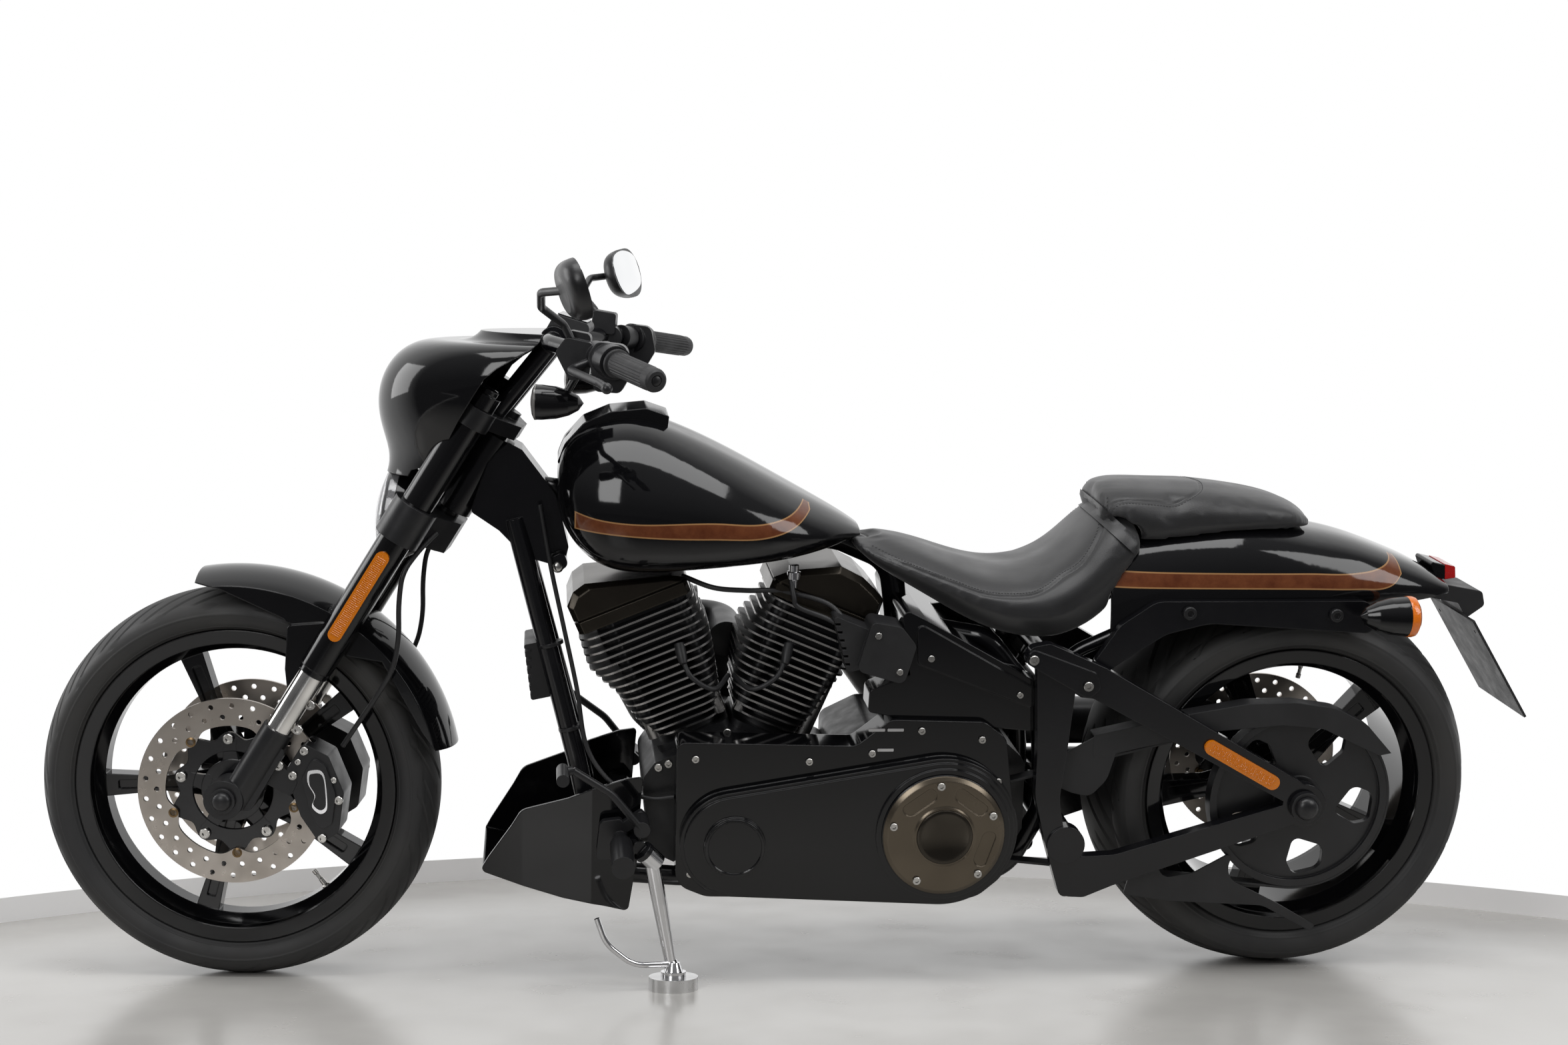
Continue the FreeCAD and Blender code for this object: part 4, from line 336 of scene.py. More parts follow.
def room_edge(radius, count=160):
    """The edge of the floor: nearly round, and far out where it passes the camera."""
    pts = []
    for i in range(count):
        a = 2 * math.pi * i / count
        far = radius * (1 + 0.115 * min(math.cos(a), 0)) if math.sin(a) > -0.2 else radius * 1.6
        pts.append(ROOM + Vector((far * math.cos(a), far * math.sin(a), 0)))
    return pts


def from_camera(p):
    """How far round the room a point lies, counted from behind the camera."""
    return (math.atan2(p.y - ROOM.y, p.x - ROOM.x) + math.pi / 2) % (2 * math.pi)


floor_mat, tree, floor_shader, coords = new_material("studio_floor")
sock(floor_shader, "IOR", 1.45)
place = coords.outputs["Object"]
cloud = remap(tree, noise_node(tree, place, 1.3, 4), 0.35, 0.65)
pale = colour_mix(tree, cloud, (0.48, 0.466, 0.445), (0.56, 0.546, 0.52))
# Painted shade: for glossy rays only, the floor's colour turns near black towards the camera, so glossy paint
# mirrors a dark floor.
near_camera = remap(tree, split_xyz(tree, place)["Y"], -0.35, -1.2)
ray = tree.nodes.new("ShaderNodeLightPath").outputs
glossy_painted_shade = calc(tree, "MULTIPLY", ray["Is Glossy Ray"], near_camera)
feed(tree, floor_shader.inputs["Base Color"], colour_mix(tree, glossy_painted_shade, pale, (0.05, 0.05, 0.052)))
smear = remap(tree, noise_node(tree, place, 6.0, 5), 0.3, 0.7, 0.16, 0.3)
feed(tree, floor_shader.inputs["Roughness"], smear)
edge = room_edge(ROOM_R)
floor_mesh = raw_mesh("floor", edge, [list(range(len(edge)))])
floor_mesh.materials.append(floor_mat)
floor_obj = linked("studio_floor", floor_mesh)
low = sorted((p for p in edge if p.y > ROOM.y - 0.4 * ROOM_R), key=from_camera)
high = [p + SKIRT_TOP for p in low]
count = len(low)
skirt_mesh = raw_mesh("skirting", low + high, [(i, i + 1, count + i + 1, count + i) for i in range(count - 1)])
skirt_mesh.materials.append(finish("skirting_grey", (0.88, 0.87, 0.865), 0.5, grain=5))
skirt_obj = linked("skirting", skirt_mesh)
print("floor points:", len(edge), "skirting points:", count)

# %% [markdown]
# ## Lights
# Gloss black shows nothing but what it mirrors, so the lights are drawn as shapes that look good when
# mirrored: one long soft panel overhead, one beside the camera for the engine, one from behind the rear
# wheel and one from ahead of the front wheel. Small bright lamps would leave hard white dots; big ones
# leave the long soft bands that make a curved tank look curved.
# %% Soft panels
def soft_panel(name, place, aim, size, power):
    """A lamp with a rectangular face, turned to aim; the camera doesn't see it."""
    data = bpy.data.lights.new(name, "AREA")
    data.shape = "RECTANGLE"
    data.size, data.size_y = size
    data.energy = power
    obj = linked(name, data)
    look = (Vector(aim) - Vector(place)).to_track_quat("-Z", "Y")
    obj.matrix_world = Matrix.Translation(place) @ look.to_matrix().to_4x4()
    obj.visible_camera = False


soft_panel("overhead_panel", (-0.1, -1.0, 3.3), (0, 0, 0.5), (3.4, 1.4), 62)
soft_panel("camera_panel", (-1.9, -3.0, 1.9), (-0.1, 0, 0.5), (1.2, 1.8), 34)
soft_panel("rear_panel", (2.4, -1.6, 2.0), (0.5, 0, 0.5), (1.2, 1.6), 24)
soft_panel("front_panel", (-3.0, 0.6, 1.6), (-0.6, 0, 0.6), (1.4, 1.6), 22)
print("soft panels:", len(bpy.data.lights))

# %% [markdown]
# ## Painting the measured parts
# Each solid of the frame whose shape is already right keeps its mesh and only gets its finish. The
# list below is the paint shop's card: which part wears which finish.
# %% Paint card
CARD = {
    "frame": frame_paint, "fuel_tank": lacquer, "tank_console": lacquer, "rear_fender": lacquer,
    "fender_struts": frame_paint, "engine_cases": cast_black, "front_cylinder": cast_black,
    "rear_cylinder": cast_black, "rocker_boxes": smoked, "primary_cover": lacquer, "derby_cover": derby_bronze,
    "air_cleaner": satin_black, "exhaust": satin_black, "oil_tank": lacquer, "coil_box": moulded,
    "chin_spoiler": lacquer, "regulator": cast_black, "foot_controls": satin_black, "rear_lamps": lacquer,
    "plate_bracket": moulded, "swingarm": frame_paint, "swingarm_reflectors": amber_reflex,
    "rear_axle": satin_black, "drive_belt": moulded, "belt_guard": moulded, "rear_caliper": satin_black,
    "rear_tyre": tyre_rubber, "rear_rim": lacquer, "rear_disc": disc_steel, "rear_pulley": satin_black,
    "fork_tubes": lacquer, "stanchions": tube_steel, "fork_lowers": satin_black, "front_axle": satin_black,
    "front_calipers": satin_black, "triple_clamps": satin_black, "handlebar": frame_paint,
    "grips": grip_rubber,
    "bar_controls": satin_black, "mirrors": satin_black, "front_signals": lacquer, "fairing": lacquer,
    "headlamp": lacquer, "instrument": moulded, "front_fender": lacquer, "fork_reflectors": amber_reflex,
    "front_tyre": tyre_rubber, "front_rim": lacquer, "front_discs": disc_steel,
    "stand_leg": chrome, "stand_pad": machined, "brake_hoses": moulded, "rider_seat": moulded,
    "pillion_seat": moulded,
}
for node_name, node_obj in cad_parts.items():
    node_obj.data.materials.clear()
    node_obj.data.materials.append(CARD[node_name])
print("painted", len(CARD), "parts")

# %% [markdown]
# ## Drawing helpers
# Three kinds of shape make most of a motorcycle: things turned on a lathe, things cut from plate, and
# things swept along a line. They could each be a primitive with modifiers, but then their place would
# live in the object. These helpers build the mesh in millimetres and lay it straight into its place,
# which is named by its carrier: the chassis, the fork or one of the wheels.
# %% Lay a mesh in place
CHASSIS, REAR_WHEEL = (ON_BIKE, "chassis"), (ON_BIKE, "rear_wheel")
FORK, FRONT_WHEEL = (ON_FORK, "front_fork"), (ON_FORK, "front_wheel")


def shade(mesh, sharp):
    """Shades a mesh smooth, except over edges sharper than so many degrees."""
    mesh.polygons.foreach_set("use_smooth", [True] * len(mesh.polygons))
    mesh.set_sharp_from_angle(angle=math.radians(sharp))


def settle(name, mesh, mat, carrier=CHASSIS, sharp=35, flip_check=True):
    """Makes a finished piece of a mesh in millimetres; carrier is its place and the body it rides on."""
    place, body = carrier
    bm = bmesh.new()
    bm.from_mesh(mesh)
    bmesh.ops.remove_doubles(bm, verts=bm.verts, dist=0.0005)
    if flip_check:
        bmesh.ops.recalc_face_normals(bm, faces=bm.faces)
    bm.to_mesh(mesh)
    bm.free()
    mesh.transform(place)
    mesh.materials.clear()
    mesh.materials.append(mat)
    shade(mesh, sharp)
    mesh.name = name
    obj = linked(name, mesh)
    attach(obj, body)
    return obj


def mesh_of(name, bm):
    mesh = bpy.data.meshes.new(name)
    bm.to_mesh(mesh)
    bm.free()
    return mesh


def joined(name, meshes):
    """Several meshes as one."""
    bm = bmesh.new()
    for m in meshes:
        bm.from_mesh(m)
        bpy.data.meshes.remove(m)
    return mesh_of(name, bm)


# %% [markdown]
# Rings of points are the base of most of these shapes: a lathe makes rings round an axis, a sweep makes
# rings along a line. So one helper gives the points of a circle and one gives the faces between rings
# that follow each other. The poles of a turned piece are closed with triangles.
# %% Rings, lathe and sweep
def circle(x, z, r, steps):
    return [(x + r * math.cos(2 * math.pi * i / steps), z + r * math.sin(2 * math.pi * i / steps))
            for i in range(steps)]


def bands(rings, steps, closed=False):
    """The faces between rings of so many steps, whose points are numbered ring after ring."""
    faces = []
    for k in range(rings if closed else rings - 1):
        low, high = k * steps, (k + 1) % rings * steps
        for i in range(steps):
            j = (i + 1) % steps
            faces.append((low + i, low + j, high + j, high + i))
    return faces


def lathe(profile, centre=(0, 0, 0), way=(0, 0, 1), steps=48, closed=False):
    """Turns (radius, height) points round an axis; the ends close on the axis where a radius is 0."""
    m = axis_frame(centre, way)
    verts, rings, faces = [], [], []
    for r, h in profile:
        ring = circle(0, 0, r, steps) if r > 1e-6 else [(0, 0)]
        rings.append(range(len(verts), len(verts) + len(ring)))
        verts += [m @ Vector((x, y, h)) for x, y in ring]
    for low, high in list(zip(rings, rings[1:])) + [(rings[-1], rings[0])] * closed:
        for i in range(steps):
            j = (i + 1) % steps
            if len(low) == 1 and len(high) > 1:
                faces.append((low[0], high[i], high[j]))
            elif len(high) == 1 and len(low) > 1:
                faces.append((low[i], high[0], low[j]))
            elif len(low) > 1:
                faces.append((low[i], high[i], high[j], low[j]))
    return raw_mesh("turned", verts, faces)


def smooth_line(points, steps=8):
    """Points along a smooth line through all the given ones."""
    pts = [Vector(p) for p in points]
    pts = [pts[0] * 2 - pts[1]] + pts + [pts[-1] * 2 - pts[-2]]
    out = []
    for i in range(1, len(pts) - 2):
        p0, p1, p2, p3 = pts[i - 1:i + 3]
        for k in range(steps):
            t = k / steps
            out.append(0.5 * ((2 * p1) + (p2 - p0) * t + (2 * p0 - 5 * p1 + 4 * p2 - p3) * t * t
                              + (3 * p1 - p0 - 3 * p2 + p3) * t ** 3))
    out.append(pts[-2])
    return out


def swept(line, radius, sides=12):
    """A round bar along a line, closed at both ends."""
    verts, count, normal = [], len(line), None
    for i, p in enumerate(line):
        way = (line[min(i + 1, count - 1)] - line[max(i - 1, 0)]).normalized()
        if normal is None:
            normal = way.cross(Vector((0, 0, 1)))
            if normal.length < 0.1:
                normal = way.cross(Vector((1, 0, 0)))
        normal = (normal - way * normal.dot(way)).normalized()
        side = way.cross(normal)
        verts += [p + normal * x + side * y for x, y in circle(0, 0, radius, sides)]
    ends = [list(range(sides))[::-1], [(count - 1) * sides + k for k in range(sides)]]
    return raw_mesh("swept", verts, bands(count, sides) + ends)


# %% [markdown]
# What is cut from plate starts as a flat outline in the side view. It gets its thickness by pushing the
# face across, and its edges are bevelled, because no real plate has knife-sharp edges.
# %% Plates
def thicken(bm, faces, depth):
    moved = bmesh.ops.extrude_face_region(bm, geom=faces)
    lifted = [v for v in moved["geom"] if isinstance(v, bmesh.types.BMVert)]
    bmesh.ops.translate(bm, verts=lifted, vec=(0, depth, 0))


def plate(outline, y0, y1, bevel):
    """A side-view outline of (x, z) points drawn from y0 to y1, its edges rounded by bevel."""
    bm = bmesh.new()
    thicken(bm, [bm.faces.new([bm.verts.new((p[0], y0, p[1])) for p in outline])], y1 - y0)
    bmesh.ops.recalc_face_normals(bm, faces=bm.faces)
    bmesh.ops.bevel(bm, geom=list(bm.edges), offset=bevel, segments=2, affect="EDGES", clamp_overlap=True)
    return mesh_of("plate", bm)


def rounded(points, radius, steps=5):
    """An outline with each corner rounded."""
    out = []
    for i, p in enumerate(points):
        here = Vector(p)
        before = Vector(points[i - 1]) - here
        after = Vector(points[(i + 1) % len(points)]) - here
        back = min(radius / math.tan(before.angle(after) / 2), before.length * 0.49, after.length * 0.49)
        a = here + before.normalized() * back
        b = here + after.normalized() * back
        for k in range(steps + 1):
            t = k / steps
            out.append(a * (1 - t) ** 2 + here * 2 * t * (1 - t) + b * t * t)
    return out


print("helpers ready")

# %% [markdown]
# ## Tyres
# A road tyre is smooth in the middle and has long curved grooves that run from near the centre out
# over each shoulder, to carry water away. The grooves could be a bump pattern, which looks flat at the
# edge of the tyre. Here the mesh's own columns follow the grooves' curve, so that each groove is one
# column of faces pushed in: sharp edges at little cost. Each pitch of the tread is eight columns, given
# as a share of the pitch and whether it is cut. The grooves lie in two lanes, and the side wall has rings.
# %% Tyre builder
GROOVE_DEPTH = 4.6
GROOVE_FADE, TREAD_END = 0.05, 0.62
LANES = ((0.10, 0.86), (0.34, 0.98))
WALL_RINGS = ((0.70, 0.8), (0.88, 0.9), (0.93, 0.6))
COLUMNS = ((0.0, 0), (0.05, 0), (0.09, 1), (0.13, 1), (0.36, 0), (0.60, 0), (0.80, 0), (0.90, 0))


def arc(a, b, c, n):
    """Points along the round arc from a through b to c."""
    (ax, ay), (bx, by), (cx, cy) = a, b, c
    aa, bb, cc = ax * ax + ay * ay, bx * bx + by * by, cx * cx + cy * cy
    d = 2 * (ax * (by - cy) + bx * (cy - ay) + cx * (ay - by))
    ux = (aa * (by - cy) + bb * (cy - ay) + cc * (ay - by)) / d
    uy = (aa * (cx - bx) + bb * (ax - cx) + cc * (bx - ax)) / d
    r = math.hypot(ax - ux, ay - uy)
    a0, a1 = math.atan2(ay - uy, ax - ux), math.atan2(cy - uy, cx - ux)
    turns = [a0 + (a1 - a0) * k / n for k in range(n + 1)]
    return [(ux + r * math.cos(t), uy + r * math.sin(t)) for t in turns]


def tyre_section(radius, half_w, bead_r, bead_half, steps=40):
    """Half of the section from the crown to the bead, as (y, radius) points, evenly spread."""
    lip = bead_r + 14
    widest = lip + 0.38 * (radius - lip) + 6
    shoulder = Vector((0.78 * half_w, radius - 0.19 * half_w - 4))
    crown = arc((-shoulder.x, shoulder.y), (0, radius), (shoulder.x, shoulder.y), 2 * steps)[steps:]
    wall = arc(tuple(shoulder), (half_w, widest), (bead_half, lip), steps)
    return crown + wall[1:] + [(bead_half, bead_r + 1)]


def tyre(name, node, centre, radius, half_w, bead_r, bead_half, carrier, pitches, swing):
    """The tyre with its grooves; swing is how far a groove runs round as it crosses the shoulder."""
    half = [(y, r, k) for k, (y, r) in enumerate(tyre_section(radius, half_w, bead_r, bead_half))]
    rows = [(-y, r, k) for y, r, k in half[::-1]] + half[1:]
    total = pitches * len(COLUMNS)
    verts = []
    for y, r, k in rows:
        side = -1 if y < 0 else 1
        share, reach = abs(y) / half_w, k / (len(half) - 1)
        ring = sum(size for at, size in WALL_RINGS if abs(reach - at) < 0.012)
        for i in range(total):
            unit, (column, cut) = i // len(COLUMNS), COLUMNS[i % len(COLUMNS)]
            starts, stops = LANES[unit % 2]
            cut_in = 0.0
            if reach < TREAD_END:
                cut_in = max(0.0, min((share - starts) / GROOVE_FADE, (stops - share) / GROOVE_FADE, 1.0))
            turn = (unit + column + (0.5 if side > 0 else 0.0) * min(share * 6, 1)) / pitches
            a = 2 * math.pi * turn + swing * (share ** 1.4)
            deep = r - GROOVE_DEPTH * cut * cut_in
            verts.append((centre.x + deep * math.cos(a), y + side * ring, centre.z + deep * math.sin(a)))
    mesh = raw_mesh(name, verts, bands(len(rows), total, closed=True))
    obj = settle(name, mesh, tyre_rubber, carrier, sharp=28)
    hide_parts(node)
    print(name, "faces:", len(mesh.polygons))


tyre("front_tyre_tread", "front_tyre", FRONT_AXLE, FRONT_R, 65, 241.3, 46, FRONT_WHEEL, 44, 0.42)
tyre("rear_tyre_tread", "rear_tyre", REAR_AXLE, REAR_R, 120, 228.6, 104, REAR_WHEEL, 40, 0.5)

# %% [markdown]
# ## Geometry Nodes for what repeats
# Screws and stitches repeat by the dozen. Copying them by hand is slow to change; a loop works too. A
# node tree is better still: the spots are plain points that carry a direction and a size, one tree sets
# a head on each, and the same tree serves every joint on the machine.
# %% The tree that sets heads on marked spots
def spot_tree():
    tree = bpy.data.node_groups.new("heads_on_spots", "GeometryNodeTree")
    face, n = tree.interface, tree.nodes
    for name, kind in (("Geometry", "Geometry"), ("Head", "Object"), ("Size", "Float"), ("Finish", "Material")):
        face.new_socket(name, in_out="INPUT", socket_type="NodeSocket" + kind)
    face.new_socket("Geometry", in_out="OUTPUT", socket_type="NodeSocketGeometry")
    given, made = n.new("NodeGroupInput"), n.new("NodeGroupOutput")
    head = n.new("GeometryNodeObjectInfo")
    sock(head, "As Instance", True)
    way, size = n.new("GeometryNodeInputNamedAttribute"), n.new("GeometryNodeInputNamedAttribute")
    way.data_type, size.data_type = "FLOAT_VECTOR", "FLOAT"
    sock(way, "Name", "way")
    sock(size, "Name", "size")
    grow = n.new("ShaderNodeMath")
    grow.operation = "MULTIPLY"
    aim = n.new("FunctionNodeAlignRotationToVector")
    aim.axis = "Z"
    put, real = n.new("GeometryNodeInstanceOnPoints"), n.new("GeometryNodeRealizeInstances")
    paint = n.new("GeometryNodeSetMaterial")
    for source, output, target, socket in (
            (given, "Head", head, "Object"), (way, "Attribute", aim, "Vector"), (size, "Attribute", grow, 0),
            (given, "Size", grow, 1), (given, "Geometry", put, "Points"), (head, "Geometry", put, "Instance"),
            (aim, "Rotation", put, "Rotation"), (grow, 0, put, "Scale"), (put, "Instances", real, "Geometry"),
            (real, "Geometry", paint, "Geometry"), (given, "Finish", paint, "Material"),
            (paint, "Geometry", made, "Geometry")):
        tree.links.new(source.outputs[output], target.inputs[socket])
    return tree


def evaluated_mesh(obj):
    bpy.context.view_layer.update()
    return bpy.data.meshes.new_from_object(obj.evaluated_get(bpy.context.evaluated_depsgraph_get()))


def grown(obj, tree, **values):
    """Runs a node tree on an object and gives the plain mesh it makes; the object goes."""
    mod = obj.modifiers.new("grow", "NODES")
    mod.node_group = tree
    for item in tree.interface.items_tree:
        if item.item_type == "SOCKET" and item.in_out == "INPUT" and item.name in values:
            mod[item.identifier] = values[item.name]
    mesh = evaluated_mesh(obj)
    bpy.data.objects.remove(obj)
    return mesh


SPOT_TREE = spot_tree()


def head_object(name, mesh, sharp=30):
    """A pattern for the tree to copy, with its faces turned outwards."""
    bm = bmesh.new()
    bm.from_mesh(mesh)
    bmesh.ops.recalc_face_normals(bm, faces=bm.faces)
    bm.to_mesh(mesh)
    bm.free()
    shade(mesh, sharp)
    obj = linked(name, mesh)
    obj.hide_render = True
    return obj


def heads(name, spots, head, mat, carrier=CHASSIS):
    """Sets a head on each spot (point, direction, radius in millimetres) of one body."""
    mesh = raw_mesh(name + "_spots", [s[0] for s in spots], [])
    mesh.attributes.new("way", "FLOAT_VECTOR", "POINT")
    mesh.attributes.new("size", "FLOAT", "POINT")
    for i, s in enumerate(spots):
        mesh.attributes["way"].data[i].vector = Vector(s[1]).normalized()
        mesh.attributes["size"].data[i].value = s[2]
    out = grown(linked(name + "_spots", mesh), SPOT_TREE, Head=head, Size=1.0, Finish=mat)
    settle(name, out, mat, carrier, sharp=32, flip_check=False)
    print(name, len(spots), "heads")


# %% [markdown]
# A socket-head screw is a short drum with a rounded rim and a six-sided recess. Seen at arm's length
# those three things are all that one notices, so a few dozen faces are enough.
# %% The screw heads
def socket_head(height=0.75, recess=0.45, edge=0.12, sides=18):
    """A unit screw head of radius 1, its seat at 0 and its top along Z, with a hexagon socket."""
    verts = [(x, y, h) for r, h in ((1.0, 0.0), (1.0, height - edge), (1.0 - edge, height))
             for x, y in circle(0, 0, r, sides)]
    for h in (height, height - 0.4):
        for i in range(sides):
            a = 2 * math.pi * i / sides
            reach = recess / math.cos((a % (math.pi / 3)) - math.pi / 6)
            verts.append((reach * math.cos(a), reach * math.sin(a), h))
    ends = [[4 * sides + i for i in range(sides)], list(range(sides))[::-1]]
    return raw_mesh("socket_head", verts, bands(5, sides) + ends)


SCREW = head_object("screw_head", socket_head())
DOME = head_object("dome_head", lathe([(0, 0), (1, 0), (1, 0.25), (0.85, 0.5), (0.5, 0.68), (0, 0.74)],
                                      steps=16))
print("screw head faces:", len(SCREW.data.polygons))

# %% [markdown]
# ## The painted stripe
# A rust stripe with fine tan lines runs along the tank's sides and on along the rear fender. It could
# be a thin sticker laid on the surface, which would need to follow every bend. Paint is simpler: the
# finish turns its coordinates back to the upright machine and asks, for each point, whether it lies
# between two curves. The curves are drawn from a few side-view points.
# %% Coordinates and curves in a finish
STRIPE_HEIGHTS = (640, 900)


def opened(mat):
    """A finish's tree, shader and coordinates, for work on it."""
    tree = mat.node_tree
    coords = next(n for n in tree.nodes if n.type == "TEX_COORD")
    return tree, tree.nodes["Principled BSDF"], coords.outputs


def copied(finish_to_copy, name):
    mat = finish_to_copy.copy()
    mat.name = name
    return mat


def turned_back(tree, vector, place, turn):
    """Coordinates as the piece had them before it was turned and moved."""
    back = tree.nodes.new("ShaderNodeMapping")
    back.vector_type = "TEXTURE"
    sock(back, "Location", place)
    sock(back, "Rotation", turn)
    feed(tree, back.inputs["Vector"], vector)
    return back.outputs["Vector"]


def upright(tree, vector, place=LAID.translation):
    return turned_back(tree, vector, place, (LEAN, PITCH, 0))


def drawn_curve(tree, x, points, span, out_span):
    """A height for each x, read from side-view points in millimetres."""
    (x0, x1), (z0, z1) = span, out_span
    share = remap(tree, x, x0 / 1000, x1 / 1000)
    curve = tree.nodes.new("ShaderNodeFloatCurve")
    line = curve.mapping.curves[0]
    spots = [((px - x0) / (x1 - x0), (pz - z0) / (z1 - z0)) for px, pz in points]
    line.points[0].location = spots[0]
    line.points[1].location = spots[-1]
    for spot in spots[1:-1]:
        line.points.new(*spot)
    curve.mapping.update()
    feed(tree, curve.inputs["Value"], share)
    return remap(tree, curve.outputs[0], 0, 1, z0 / 1000, z1 / 1000)


print("the stripes are drawn between", STRIPE_HEIGHTS, "mm")

# %% [markdown]
# The stripe's edges are two curves, and its fine lines lie where a point is only just inside them. The
# distance to the nearest edge is all that the finish needs: its first two millimetres are tan, the rest
# is rust, and the paint starts some way out from the machine's middle, so that the top stays black.
# %% Striped lacquer
TANK_STRIPE = (((526, 794), (579, 783), (733, 783), (842, 782), (888, 802), (910, 826)),
               ((526, 766), (734, 757), (850, 762), (904, 794), (910, 800)))
FENDER_STRIPE = (((1380, 701), (1500, 700), (1700, 700), (1790, 700), (1835, 708), (1862, 724), (1880, 744)),
                 ((1380, 675), (1500, 675), (1700, 675), (1790, 674), (1840, 676), (1866, 694), (1880, 712)))


def striped(name, curves, span, ends, inner_y=60):
    """The lacquer with one stripe between two side-view curves."""
    mat = copied(lacquer, name)
    tree, shader, coords = opened(mat)
    xyz = split_xyz(tree, upright(tree, coords["Object"]))
    high = drawn_curve(tree, xyz["X"], curves[0], span, STRIPE_HEIGHTS)
    low = drawn_curve(tree, xyz["X"], curves[1], span, STRIPE_HEIGHTS)
    inside = calc(tree, "SUBTRACT", xyz["Z"], low)
    for a, b in ((high, xyz["Z"]), (xyz["X"], ends[0] / 1000), (ends[1] / 1000, xyz["X"])):
        inside = calc(tree, "MINIMUM", inside, calc(tree, "SUBTRACT", a, b))
    outer = calc(tree, "GREATER_THAN", calc(tree, "ABSOLUTE", xyz["Y"]), inner_y / 1000)
    painted = calc(tree, "MULTIPLY", remap(tree, inside, -0.0006, 0.0), outer)
    cloud = remap(tree, noise_node(tree, coords["Object"], 38, 5, 0.65), 0.3, 0.7)
    rust = colour_mix(tree, cloud, (0.085, 0.022, 0.008), (0.15, 0.048, 0.018))
    paint = colour_mix(tree, remap(tree, inside, 0.0016, 0.0022), (0.32, 0.17, 0.07), rust)
    base = shader.inputs["Base Color"].links[0].from_socket
    feed(tree, shader.inputs["Base Color"], colour_mix(tree, painted, base, paint))
    return mat


tank_paint = striped("tank_lacquer", TANK_STRIPE, (520, 910), (528, 899))
fender_paint = striped("fender_lacquer", FENDER_STRIPE, (1380, 1880), (1384, 1868))
for node_name, mat in (("fuel_tank", tank_paint), ("rear_fender", fender_paint)):
    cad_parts[node_name].data.materials[0] = mat
print("striped:", tank_paint.name, fender_paint.name)

# %% [markdown]
# ## The fins' bright edges
# After the black paint has dried, the rim of each cooling fin is milled bare, and those bright lines
# are what one sees of an air-cooled engine. Modelling a strip on each rim would cost thousands of
# faces. The finish finds the rims by itself: it goes to the cylinder's own coordinates, where a rim
# faces square to the bore and lies at the fin's outline.
# %% Cylinder finish
CRANK_X, CRANK_Z = 783, 268
V_HALF = math.radians(22.5)
FIN_FOOT = 0.168
FRONT_FINS = (((168, -52), (187, -68), (206, -74), (263, -87), (290, -101), (322, -115), (400, -108)),
              ((168, 55), (187, 62), (206, 67), (263, 80), (290, 86), (322, 91), (400, 82)))
REAR_FINS = (((168, -64), (191, -76), (219, -89), (251, -99), (279, -106), (303, -110), (342, -96), (400, -90)),
             ((168, 46), (191, 52), (219, 60), (251, 64), (279, 69), (303, 78), (342, 79), (400, 77)))
FIN_CORNER = 0.034


def finned(name, side, ends):
    """The crinkle black with bare rims on the fins of one cylinder, which leans by half the V."""
    mat = copied(cast_black, name)
    tree, shader, coords = opened(mat)
    turn = (0, V_HALF * side, 0)
    crank = (CRANK_X / 1000, 0, CRANK_Z / 1000)
    spot = split_xyz(tree, turned_back(tree, upright(tree, coords["Object"]), crank, turn))
    aim = split_xyz(tree, turned_back(tree, upright(tree, coords["Normal"], (0, 0, 0)), (0, 0, 0), turn))
    low = drawn_curve(tree, spot["Z"], ends[0], (160, 410), (-200, 200))
    high = drawn_curve(tree, spot["Z"], ends[1], (160, 410), (-200, 200))
    half_y = remap(tree, spot["Z"], 0.176, 0.215, 0.076, 0.084)
    over_u = calc(tree, "MAXIMUM", calc(tree, "SUBTRACT", low, spot["X"]),
                  calc(tree, "SUBTRACT", spot["X"], high))
    over_y = calc(tree, "SUBTRACT", calc(tree, "ABSOLUTE", spot["Y"]), half_y)
    a = calc(tree, "MAXIMUM", calc(tree, "ADD", over_u, FIN_CORNER), 0.0)
    b = calc(tree, "MAXIMUM", calc(tree, "ADD", over_y, FIN_CORNER), 0.0)
    squares = calc(tree, "ADD", calc(tree, "MULTIPLY", a, a), calc(tree, "MULTIPLY", b, b))
    at_rim = calc(tree, "GREATER_THAN", calc(tree, "SQRT", squares), FIN_CORNER - 0.003)
    square = calc(tree, "LESS_THAN", calc(tree, "ABSOLUTE", aim["Z"]), 0.3)
    above = calc(tree, "GREATER_THAN", spot["Z"], FIN_FOOT)
    rim = calc(tree, "MULTIPLY", calc(tree, "MULTIPLY", at_rim, square), above)
    base, rough = (shader.inputs[name].links[0].from_socket for name in ("Base Color", "Roughness"))
    feed(tree, shader.inputs["Base Color"], colour_mix(tree, rim, base, (0.42, 0.41, 0.40)))
    feed(tree, shader.inputs["Metallic"], rim)
    feed(tree, shader.inputs["Roughness"], calc(tree, "MULTIPLY_ADD", rim, -0.12, rough))
    return mat


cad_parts["front_cylinder"].data.materials[0] = finned("front_fins", -1, FRONT_FINS)
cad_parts["rear_cylinder"].data.materials[0] = finned("rear_fins", 1, REAR_FINS)
print("fin rims found by the finish on both cylinders")

# %% [markdown]
# ## Brake discs
# Each front disc is a drilled steel ring that floats on a black star-shaped carrier: small bronze
# bobbins on five lugs let it grow when it gets hot. The holes could be cut with a boolean, one cutter at
# a time. A flat outline with holes in it is filled in one step instead, and then given its thickness,
# which leaves clean edges.
# %% Pierced plate
from mathutils.geometry import delaunay_2d_cdt


